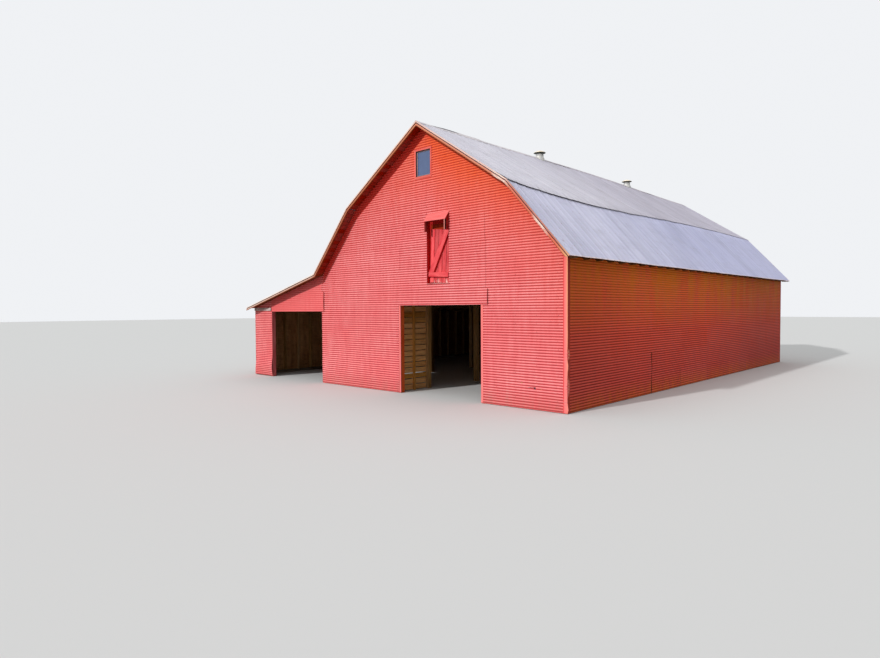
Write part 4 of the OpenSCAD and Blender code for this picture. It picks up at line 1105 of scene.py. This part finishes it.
def ventMaterial():
    material = newMaterial("ventZinc")
    place = objectPlace()
    runs = cloud(stretch(place, (14, 14, 3)), 1.5, 4)
    colour = blend(remap(runs, 0.38, 0.66), (0.70, 0.68, 0.62), (0.50, 0.51, 0.52))
    colour = blend(remap(cloud(place, 12, 5, 0.65), 0.56, 0.72, 0, 0.6), colour, (0.34, 0.31, 0.28))
    colour = blend(remap(cloud(place, 34, 6, 0.7), 0.62, 0.7, 0, 0.7), colour, (0.30, 0.15, 0.08))
    onCap = remap(attribute("tone"), 0.80, 0.85)
    colour = blend(times(onCap, 0.9), colour, (1.0, 0.86, 0.66))
    # painted shade: the cap's downward faces are near black
    facing = split(addNode("NewGeometry", {}, "Normal"))[2]
    colour = blend(times(onCap, remap(facing, -0.1, -0.3)), colour, (0.05, 0.06, 0.045))
    finishMaterial(colour, remap(runs, 0.3, 0.7, 0.4, 0.65), metal=0.3, relief=(runs, 0.15, 0.002))
    return material


def addLathe(sketch, centre, outline, tone):
    sides = vents["sides"]
    joinRings(sketch, [[addPoint(sketch, centre + turned(Vector(right), Vector(back), k, sides) * radius
                                 + Vector((0, 0, height)), tone) for k in range(sides)]
                       for radius, height in outline])


ventSketch = newSketch()
ventLow, ventHigh = nodeSpan("ridge_ventilators")
for i, y in enumerate((ventLow.y + vents["cap"], ventHigh.y - vents["cap"])):
    base = roofPoint(rightPath, 0.0, y, 0.0)
    foot, neck, wide, top, cone = (vents[key] for key in ("foot", "neck", "brim", "height", "cone"))
    rim = top - cone - 0.01
    addLathe(ventSketch, base, [
        (foot + 0.03, -0.20), (foot + 0.028, -0.05), (foot + 0.006, 0.006), (foot - 0.004, 0.02),
        (neck + 0.016, 0.09), (neck + 0.020, 0.093), (neck + 0.020, 0.101), (neck + 0.014, 0.104),
        (neck, rim - 0.03)], 0.3 + 0.2 * i)
    addLathe(ventSketch, base, [
        (neck * 0.7, rim - 0.036), (wide - 0.02, rim - 0.014), (wide - 0.006, rim - vents["rim"]),
        (wide, rim - 0.006), (wide - 0.003, rim + 0.004), (wide - 0.014, rim + 0.008),
        (wide * 0.76, rim + cone * 0.40), (wide * 0.5, rim + cone * 0.74), (wide * 0.25, rim + cone * 0.93),
        (0.02, rim + cone), (0.008, top)], 0.9)
    for k in range(4):                            # struts that carry the cap
        turn = math.pi / 4 + k * math.pi / 2
        side = Vector((math.cos(turn), math.sin(turn), 0))
        addBoard(ventSketch, base + side * (neck - 0.004) + Vector((0, 0, 0.11)), up,
                 side.cross(Vector(up)), side, rim - 0.13, 0.02, 0.004, capDice, 0.001)
makePiece(ventSketch, "ridgeVentilators", ventMaterial(), ("ridge_ventilators",), True)

print("5 roof edges and ventilators done")

# Loft floor in boards
loftLow, loftHigh = nodeSpan("loft_floor")
loftSketch = newSketch()
loftDice = random.Random(81)
loftBoards = {"width": 0.19, "gap": 0.004, "lengths": (2.4, 4.9), "shortest": 0.8}
x = loftLow.x
while x < loftHigh.x - 0.03:
    wide = min(loftBoards["width"], loftHigh.x - x)
    y = loftLow.y
    while y < loftHigh.y - 0.02:
        reach = min(loftHigh.y - y, loftDice.uniform(*loftBoards["lengths"]))
        if loftHigh.y - (y + reach) < loftBoards["shortest"]:
            reach = loftHigh.y - y
        addBoard(loftSketch, (x + wide / 2, y + 0.001, (loftLow.z + loftHigh.z) / 2), back, right, up,
                 reach - 0.003, wide - loftBoards["gap"], loftHigh.z - loftLow.z, loftDice, 0.002)
        y += reach
    x += loftBoards["width"]
makePiece(loftSketch, "loftFloorBoards", woodMaterial("loftBoardWood"), ("loft_floor",))

# The boarded wall at the left of the aisle: level boards, with gaps, on the far side of two studs
aisleLow, aisleHigh = nodeSpan("aisle_wall")
aisle = {"board": 0.15, "pitch": 0.17, "thick": 0.022, "stud": 0.089, "narrow": 0.038}
aisleSketch = newSketch()
aisleDice = random.Random(86)
z = aisle["pitch"] - aisle["board"]
while z + aisle["board"] < aisleHigh.z:
    addBoard(aisleSketch, (aisleLow.x + aisle["thick"] / 2, aisleLow.y, z + aisle["board"] / 2), back, up,
             right, aisleHigh.y - aisleLow.y - aisleDice.uniform(0, 0.02),
             aisle["board"] - aisleDice.uniform(0, 0.006),
             aisle["thick"], aisleDice, eased, 2, 0.002)
    z += aisle["pitch"]
for y in (aisleLow.y, (aisleLow.y + aisleHigh.y - aisle["narrow"]) / 2):
    addBoard(aisleSketch, (aisleHigh.x - aisle["stud"] / 2, y + aisle["narrow"] / 2, 0), up, back, right,
             aisleHigh.z, aisle["narrow"], aisle["stud"], aisleDice)
# painted light: the boards are a brighter wood than the rest, for the daylight that reaches them through the
# doorway
aisleLitWood = woodMaterial("aisleBoardLitWood", dark=(0.42, 0.16, 0.035), light=(0.96, 0.50, 0.14),
                         grey=(0.60, 0.40, 0.20))
makePiece(aisleSketch, "aisleBoarding", aisleLitWood, ("aisle_wall",))


# Timber frame: the CAD pieces keep their shape, with eased edges and wood that runs their own way
def dress(name, material, easedEdge=0.004):
    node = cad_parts[name]
    node.data.materials.clear()
    node.data.materials.append(material)
    if easedEdge:
        whole = node.modifiers.new("wholeFaces", "DECIMATE")
        whole.decimate_type = "DISSOLVE"
        whole.angle_limit = math.radians(0.5)
        bevel = node.modifiers.new("eased", "BEVEL")
        bevel.width = easedEdge
        bevel.segments = 1
        bevel.limit_method = "ANGLE"


for direction, names in (
        ("z", ("front_studs", "right_side_studs", "back_studs", "lean_to_studs", "left_line_posts",
               "loft_posts")),
        ("y", ("wall_plates", "ridge_board", "loft_beams")), ("x", ("loft_joists",))):
    wood = woodMaterial("timberAlong" + direction.upper(), direction)
    for name in names:
        dress(name, wood)
slope = math.atan(barn["lowerFall"])
# painted shade: the right rafters are a dark brown, for their tails in shade under the eave
dress("rafters_right", woodMaterial("rafterWoodRightShade", "slope", slope, (0.08, 0.04, 0.012),
                                    (0.24, 0.12, 0.04),
                                    (0.16, 0.11, 0.06)))
dress("rafters_left", woodMaterial("rafterWoodLeft", "slope", -slope))
dress("lean_to_rafters", woodMaterial("leanRafterWood", "slope", -math.atan(barn["leanFall"])))
dress("ground_sills", woodMaterial("sillWood", "y", 0.0, (0.06, 0.04, 0.025), (0.16, 0.12, 0.085)))

print("6 timber dressed")

# Jambs and heads of both doorways, in painted boards
jambDice = random.Random(91)
jambs = {"wide": 0.14, "ease": 0.006}
for name, node, top, wood in (
        ("mainDoorwayFrame", "main_door_frame", mainDoor["top"],
         paintedWood("jambBoards", (0.80, 0.095, 0.02), (0.90, 0.17, 0.04), wear=0.68)),
        ("leanToDoorwayFrame", "lean_to_door_frame", leanDoor["top"],
         paintedWood("leanJambBoards", (0.62, 0.11, 0.115), (0.78, 0.22, 0.22), (0.40, 0.24, 0.22), 0.62))):
    jambSketch = newSketch()
    low, high = nodeSpan(node)
    depth, midY = high.y - low.y, (low.y + high.y) / 2
    for x in (low.x + jambs["wide"] / 2, high.x - jambs["wide"] / 2):
        addPost(jambSketch, (x, midY, 0), top, jambs["wide"], depth, jambDice, jambs["ease"])
    addRail(jambSketch, (low.x, midY, (top + high.z) / 2), high.x - low.x, high.z - top, depth, jambDice,
            jambs["ease"], 3)
    makePiece(jambSketch, name, wood, (node,))

# The pale board beside the lean-to doorway's head
low, high = nodeSpan("lean_to_band")
bandSketch = newSketch()
addRail(bandSketch, (low.x + 0.004, (low.y + high.y) / 2 - 0.008, (low.z + high.z) / 2),
        high.x - low.x - 0.03, high.z - low.z, high.y - low.y, random.Random(5), eased, 4, 0.002)
bandWood = paintedWood("bandBoard", (0.62, 0.42, 0.42), (0.74, 0.60, 0.58), (0.36, 0.28, 0.25), 0.5, 0.8)
makePiece(bandSketch, "leanToBand", bandWood, ("lean_to_band",))

# Hay door: it hangs askew, upright boards with a ledge and a brace, in a frame with a board over it
hay = {"count": 5, "gap": 0.013, "askew": 2.5, "wide": 0.735, "foot": 0.745, "ledge": 0.125, "brace": 0.16,
       "topFall": 0.045, "short": 0.004, "board": 0.022, "ledgeOut": 0.012}
leafPaint = {"paint": (0.70, 0.042, 0.055), "faded": (0.95, 0.145, 0.150), "bare": (0.40, 0.06, 0.05),
             "wear": 0.66, "spread": (0.74, 1.16)}
hayDice = random.Random(101)
haySketch = newSketch()
braceLow, braceHigh = nodeSpan("hay_door_braces")
leafHeight = leafHigh.z - leafLow.z
turn = math.radians(hay["askew"])
leafSide = Vector((math.cos(turn), 0, -math.sin(turn)))
leafUp = Vector((math.sin(turn), 0, math.cos(turn)))


def onLeaf(u, v, y):              # u to the right from the leaf's left edge, v up from its foot
    return Vector((leafLow.x + hay["foot"], y, leafLow.z)) + leafSide * (u - hay["wide"]) + leafUp * v


wide = (hay["wide"] + hay["gap"]) / hay["count"]
for i in range(hay["count"]):
    u = wide * (i + 0.5) - hay["gap"] / 2
    ragged = hayDice.uniform(0, 0.010)
    start = onLeaf(u, ragged, (leafLow.y + leafHigh.y) / 2 + hayDice.uniform(-0.0015, 0.0015))
    addBoard(haySketch, start, leafUp, leafSide, front,
             leafHeight - ragged - hay["topFall"] * (u / hay["wide"]),
             wide - hay["gap"], leafHigh.y - leafLow.y, hayDice, eased, 3, 0.001,
             -hay["topFall"] / hay["wide"])
thick = braceHigh.y - braceLow.y + hay["board"]
ledgeFoot = braceLow.z - leafLow.z
addBoard(haySketch, onLeaf(-hay["ledgeOut"], ledgeFoot + hay["ledge"] / 2, leafLow.y - thick / 2), leafSide,
         leafUp, front, hay["wide"] + hay["ledgeOut"], hay["ledge"], thick, hayDice, 0.004)


def addBrace(sketch):
    # from the ledge's left end up to the right corner, cut level at its foot and along the leaf's top
    tone, shift = hayDice.random(), Vector((17.0, 5.0, 3.0))
    foot, top = ledgeFoot + hay["ledge"], leafHeight - hay["topFall"] - hay["short"]
    run, rise = hay["wide"] - hay["brace"], top - foot
    length = math.hypot(run, rise)
    across = hay["brace"] * length / rise
    slant = (hay["wide"] - across) / rise
    corners = [Vector(p) for p in ((0.0, foot), (across, foot), (hay["wide"], top),
                                   (hay["wide"] - across + slant * hay["short"], top + hay["short"]))]
    middle = sum(corners, Vector((0, 0))) / 4
    rings = []
    for depth, ease in ((0.0, eased), (0.003, 0.0), (thick, 0.0)):
        ring = []
        for corner in corners:
            p = corner + (middle - corner).normalized() * ease
            grain = ((p.x * run + p.y * rise) / length, (p.y * run - p.x * rise) / length, depth)
            ring.append(addPoint(sketch, onLeaf(p.x, p.y, leafLow.y - thick + depth), tone,
                                 Vector(grain) + shift))
        rings.append(ring)
    # the brace's side faces take the second, darker paint: painted shade beside the brace
    first = len(sketch["faces"])
    joinRings(sketch, rings, True)
    sketch["second"].update(range(first, len(sketch["faces"]) - 2))


addBrace(haySketch)
makePiece(haySketch, "hayDoor", paintedWood("hayLeafBoards", **leafPaint, wornFoot=leafLow.z),
          ("hay_door_boards", "hay_door_braces"), inner=revealShadeWood)

hayFrameSketch, overSketch, sillSketch = newSketch(), newSketch(), newSketch()
depth = frameHigh.y - frameLow.y
midY = (frameLow.y + frameHigh.y) / 2
for x in (frameLow.x + hayJamb / 2, frameHigh.x - hayJamb / 2):
    addPost(hayFrameSketch, (x, midY, frameLow.z), frameHigh.z - frameLow.z, hayJamb, depth, hayDice)
for z in (frameHigh.z - hayJamb / 2, hayFoot - hayJamb / 2):
    addRail(hayFrameSketch, (hayLeft, midY, z), hayRight - hayLeft, hayJamb, depth, hayDice)
stops = {"wide": 0.04, "deep": 0.024}
for x in (hayLeft + stops["wide"] / 2, hayRight - stops["wide"] / 2):
    addPost(hayFrameSketch, (x, frameHigh.y - stops["deep"] / 2, hayFoot), hayTop - hayFoot, stops["wide"],
            stops["deep"], hayDice, 0.002, 2)
# the boards over the leaf, in a dark red that is painted shade from the hood, and a worn sill that stands a
# little out of the wall
over = {"foot": leafHigh.z + 0.004, "wide": 0.15, "deep": 0.06, "gap": 0.006, "play": 0.002}
for k in range(2):
    foot = over["foot"] + k * (over["wide"] + over["gap"])
    reachUp = min(over["wide"], hayTop - foot)
    addRail(hayFrameSketch if k else overSketch,
            (hayLeft + over["play"], leafLow.y + over["deep"], foot + reachUp / 2),
            hayRight - hayLeft - 2 * over["play"], reachUp, hay["board"], hayDice)
haySill = {"out": 0.02, "midY": 0.034, "rise": 0.004, "deep": 0.095}
addBoard(sillSketch, (hayLeft - haySill["out"], haySill["midY"], hayFoot + haySill["rise"]), right, back, up,
         hayRight - hayLeft + 2 * haySill["out"], haySill["deep"], hay["board"], hayDice, eased, 2)
overShadeWood = paintedWood("hayOverShadeBoards", (0.30, 0.022, 0.004), (0.40, 0.035, 0.006), (0.10, 0.02, 0.008))
sillWood = paintedWood("haySillBoard", **dict(leafPaint, faded=(0.86, 0.45, 0.42), bare=(0.72, 0.55, 0.48),
                                              wear=0.5))
makePiece(hayFrameSketch, "hayDoorFrame", revealShadeWood, ("hay_door_frame",))
makePiece(overSketch, "hayDoorOverBoards", overShadeWood)
makePiece(sillSketch, "hayDoorSill", sillWood)

# Hood: a sloping sheet on two boarded cheeks, each with a post at its front edge
hoodLow, hoodHigh = nodeSpan("hay_hood")
hood = {"lip": 0.012, "cheek": 0.022, "post": 0.045, "rise": 0.208, "sheet": 0.016, "columns": 16, "rows": 8,
        "thickness": 0.010}
cheekSketch, postSketch, hoodTop = newSketch(), newSketch(), newSketch()
hoodDice = random.Random(111)
reach = -hoodLow.y - hood["lip"]
hoodFall = hood["rise"] / reach
innerLeft, innerRight = hoodLow.x + hood["lip"], hoodHigh.x - hood["lip"]
wallTop = hoodHigh.z - hood["sheet"] * math.hypot(1, hoodFall)
for x in (innerLeft + hood["cheek"] / 2, innerRight - hood["cheek"] / 2):
    # each cheek is two upright boards whose tops follow the slope
    for k in range(2):
        y0, y1 = -reach * k / 2, -reach * (k + 1) / 2 + 0.002
        tone, shift = hoodDice.random(), hoodDice.uniform(0, 40)
        a = [addPoint(cheekSketch, (x + side * hood["cheek"] / 2, y, z), tone, (z + shift, y + shift, side))
             for y, z in ((y0, hoodLow.z), (y1, hoodLow.z), (y1, wallTop + y1 * hoodFall),
                          (y0, wallTop + y0 * hoodFall)) for side in (-1, 1)]
        cheekSketch["faces"] += [tuple(a[n] for n in face) for face in (
            (0, 2, 4, 6), (1, 7, 5, 3), (0, 1, 3, 2), (2, 3, 5, 4), (4, 5, 7, 6), (6, 7, 1, 0))]
for sketch, x in ((cheekSketch, innerLeft + hood["post"] / 2), (postSketch, innerRight - hood["post"] / 2)):
    addPost(sketch, (x, -reach + hood["post"] / 2, hoodLow.z), wallTop - reach * hoodFall - hoodLow.z + 0.01,
            hood["post"], hood["post"], hoodDice, eased, 1)
# painted shade: the cheeks are a dark maroon, for the shade on them
cheekShadeWood = paintedWood("hoodCheekShadeBoards", (0.26, 0.010, 0.010), (0.36, 0.018, 0.014), (0.36, 0.07, 0.06),
                        0.53)
postWood = paintedWood("hoodPostWood", **dict(leafPaint, paint=(0.60, 0.17, 0.14), faded=(0.74, 0.36, 0.31),
                                              bare=(0.34, 0.10, 0.08), wear=0.56))
makePiece(cheekSketch, "hoodCheeks", cheekShadeWood)
makePiece(postSketch, "hoodPost", postWood)
slopeRun = Vector((0, -1, -hoodFall)).normalized()
slopeOut = Vector((0, -hoodFall, 1)).normalized()
slopeLength = (reach + hood["lip"]) * math.hypot(1, hoodFall)
grid = []
for i in range(hood["rows"] + 1):
    row = []
    for j in range(hood["columns"] + 1):
        down = slopeLength * i / hood["rows"]
        x = hoodLow.x + (hoodHigh.x - hoodLow.x) * j / hood["columns"]
        lift = 0.011 + 0.003 * noise.noise(Vector((x * 5, down * 5, 2)))
        lift -= 0.006 * (j in (0, hood["columns"])) + 0.004 * (i == hood["rows"])
        row.append(addPoint(hoodTop, Vector((x, 0, wallTop)) + slopeRun * down + slopeOut * lift, 0.6,
                            (x, down, 0)))
    grid.append(row)
joinRows(hoodTop, grid, True)
hoodPaint = paintedWood("hoodTopPaint", **dict(leafPaint, paint=(0.84, 0.145, 0.138),
                                               faded=(0.92, 0.215, 0.205),
                                               wear=0.70))
makePiece(hoodTop, "hoodSheet", hoodPaint, ("hay_hood",), True, hood["thickness"], revealShadeWood)

# Gable window: mitred casing, a lining in near-black paint that stands for the shade in the reveal, a sash,
# and glass whose blue is a painted reflection of the sky
sash = {"casing": 0.058, "out": 0.010, "lining": 0.010, "stile": 0.020, "depth": 0.026, "recess": 0.030}
windowDice = random.Random(121)


def frameRing(grow, wide, y0, y1, ease=eased):
    # four mitred boards round the window's opening grown by grow, of a width inwards, between two depths
    sketch = newSketch()
    left, right, low, high = windowHole
    left, right, low, high = left - grow, right + grow, low - grow, high + grow
    outer = [Vector(p) for p in ((left, low), (right, low), (right, high), (left, high))]
    inner = [Vector(p) for p in ((left + wide, low + wide), (right - wide, low + wide),
                                 (right - wide, high - wide),
                                 (left + wide, high - wide))]
    for k in range(4):
        tone, shift = windowDice.random(), windowDice.uniform(0, 40)
        ends = (outer[k], outer[(k + 1) % 4], inner[(k + 1) % 4], inner[k])
        run = (ends[1] - ends[0]).normalized()
        across = Vector((-run.y, run.x))
        middle = sum(ends, Vector((0, 0))) / 4
        rings = []
        for y, pull in ((y0, ease), (y0 + ease, 0.0), (y1, 0.0)):
            ring = []
            for end in ends:
                p = end - across * (pull if (end - middle).dot(across) > 0 else -pull)
                local = p - ends[0]
                ring.append(addPoint(sketch, (p.x, y, p.y), tone,
                                     (local.dot(run) + shift, local.dot(across) + shift, y)))
            rings.append(ring)
        joinRings(sketch, rings, True)
    return sketch


windowSketch = frameRing(sash["casing"], sash["casing"], -sash["out"], 0.0)
liningSketch = frameRing(0.0, sash["lining"], -0.004, 0.07, 0.001)
sashSketch = frameRing(-sash["lining"], sash["stile"], sash["recess"], sash["recess"] + sash["depth"])
casingWood = paintedWood("casingBoards", (0.86, 0.115, 0.085), (0.92, 0.21, 0.17), wear=0.70)
sashWood = paintedWood("sashBoards", (0.52, 0.30, 0.27), (0.62, 0.45, 0.42), (0.25, 0.22, 0.22), 0.6)
makePiece(windowSketch, "gableWindowCasing", casingWood, ("window_frame",))
makePiece(liningSketch, "gableWindowLining", shadeWood)
makePiece(sashSketch, "gableWindowSash", sashWood)
# painted reflection: the glass is an opaque blue, the colour of the sky reflected in it
glassSkyReflection = newMaterial("glassSkyReflection")
reflectionVeil = cloud(stretch(objectPlace(), (3, 1, 1.4)), 2.2, 3)
finishMaterial(blend(reflectionVeil, (0.062, 0.102, 0.225), (0.096, 0.146, 0.290)), remap(reflectionVeil, 0.3, 0.7, 0.06, 0.16),
               0.7, relief=(reflectionVeil, 0.08, 0.004))
dress("window_glass", glassSkyReflection, 0)

print("7 doors and window done")

# Stage: a pale floor that gives back little light, a pale world, the sun from the front left
stage = {"floor": (0.66, 0.66, 0.65), "bounce": (0.34, 0.32, 0.29), "half": 160.0, "drop": 0.004,
         "world": (0.87, 0.885, 0.91), "light": (0.96, 0.98, 1.0), "low": 0.36, "high": 0.68}
floorMesh = bpy.data.meshes.new("stageFloor")
h = stage["half"]
floorMesh.from_pydata([(x, y, -stage["drop"]) for x, y in ((-h, -h), (h, -h), (h, h), (-h, h))], [],
                      [(0, 1, 2, 3)])
floor = bpy.data.objects.new("stageFloor", floorMesh)
bpy.context.scene.collection.objects.link(floor)
floorMesh.materials.append(newMaterial("paleFloor"))
rays = addNode("LightPath", {}, None)
seen = maths("MAXIMUM", rays["Is Camera Ray"], rays["Is Glossy Ray"])
finishMaterial(blend(seen, stage["bounce"], stage["floor"]), 0.95, 0.0)

world = bpy.data.worlds.new("paleSky")
bpy.context.scene.world = world
world.use_nodes = True
tree = world.node_tree
rays = addNode("LightPath", {}, None)
direct = maths("MAXIMUM", maths("MAXIMUM", rays["Is Camera Ray"], rays["Is Glossy Ray"]),
               rays["Is Transmission Ray"])
ambient = remap(split(addNode("TexCoord", {}, "Generated"))[2], 0.0, 0.9, stage["low"], stage["high"])
plug(tree.nodes["Background"], {
    "Strength": addNode("Mix", {0: direct, 2: ambient, 3: 1.0}, data_type="FLOAT"),
    "Color": blend(direct, stage["light"], stage["world"])})


def addSun(name, strength, spread, turn, height):
    # turn is to the left of the front's own direction, height above the horizon, in degrees
    lamp = bpy.data.lights.new(name, "SUN")
    lamp.energy = strength
    lamp.angle = math.radians(spread)
    sun = bpy.data.objects.new(name, lamp)
    bpy.context.scene.collection.objects.link(sun)
    a, e = math.radians(turn), math.radians(height)
    towards = Vector((-math.sin(a) * math.cos(e), -math.cos(a) * math.cos(e), math.sin(e)))
    sun.rotation_mode = "QUATERNION"
    sun.rotation_quaternion = towards.to_track_quat("Z", "Y")


addSun("keySun", 2.25, 2.0, 8.8, 26.3)
addSun("topLight", 0.4, 70.0, 0.0, 88.0)

# The photograph's camera, solved from the barn's own lines
photoView = {"place": (11.999, -12.36, 2.458), "yaw": 42.827, "pitch": -1.845, "roll": -0.308,
             "focalPixels": 609.145, "widthPixels": 880}
lens = bpy.data.cameras.new("photoCamera")
lens.sensor_width = 36
lens.lens = photoView["focalPixels"] * lens.sensor_width / photoView["widthPixels"]
lens.clip_start, lens.clip_end = 0.1, 1000
camera = bpy.data.objects.new("photoCamera", lens)
bpy.context.scene.collection.objects.link(camera)
turnSide, turnUp, turnRoll = (Matrix.Rotation(math.radians(degrees), 4, axis) for degrees, axis in (
    (photoView["yaw"], "Z"), (90 + photoView["pitch"], "X"), (photoView["roll"], "Z")))
standing = Matrix.Translation(barnOrigin + Vector(photoView["place"]))
camera.matrix_world = standing @ turnSide @ turnUp @ turnRoll
bpy.context.scene.camera = camera
bpy.context.scene.view_settings.view_transform = "Standard"

print("8 stage set")
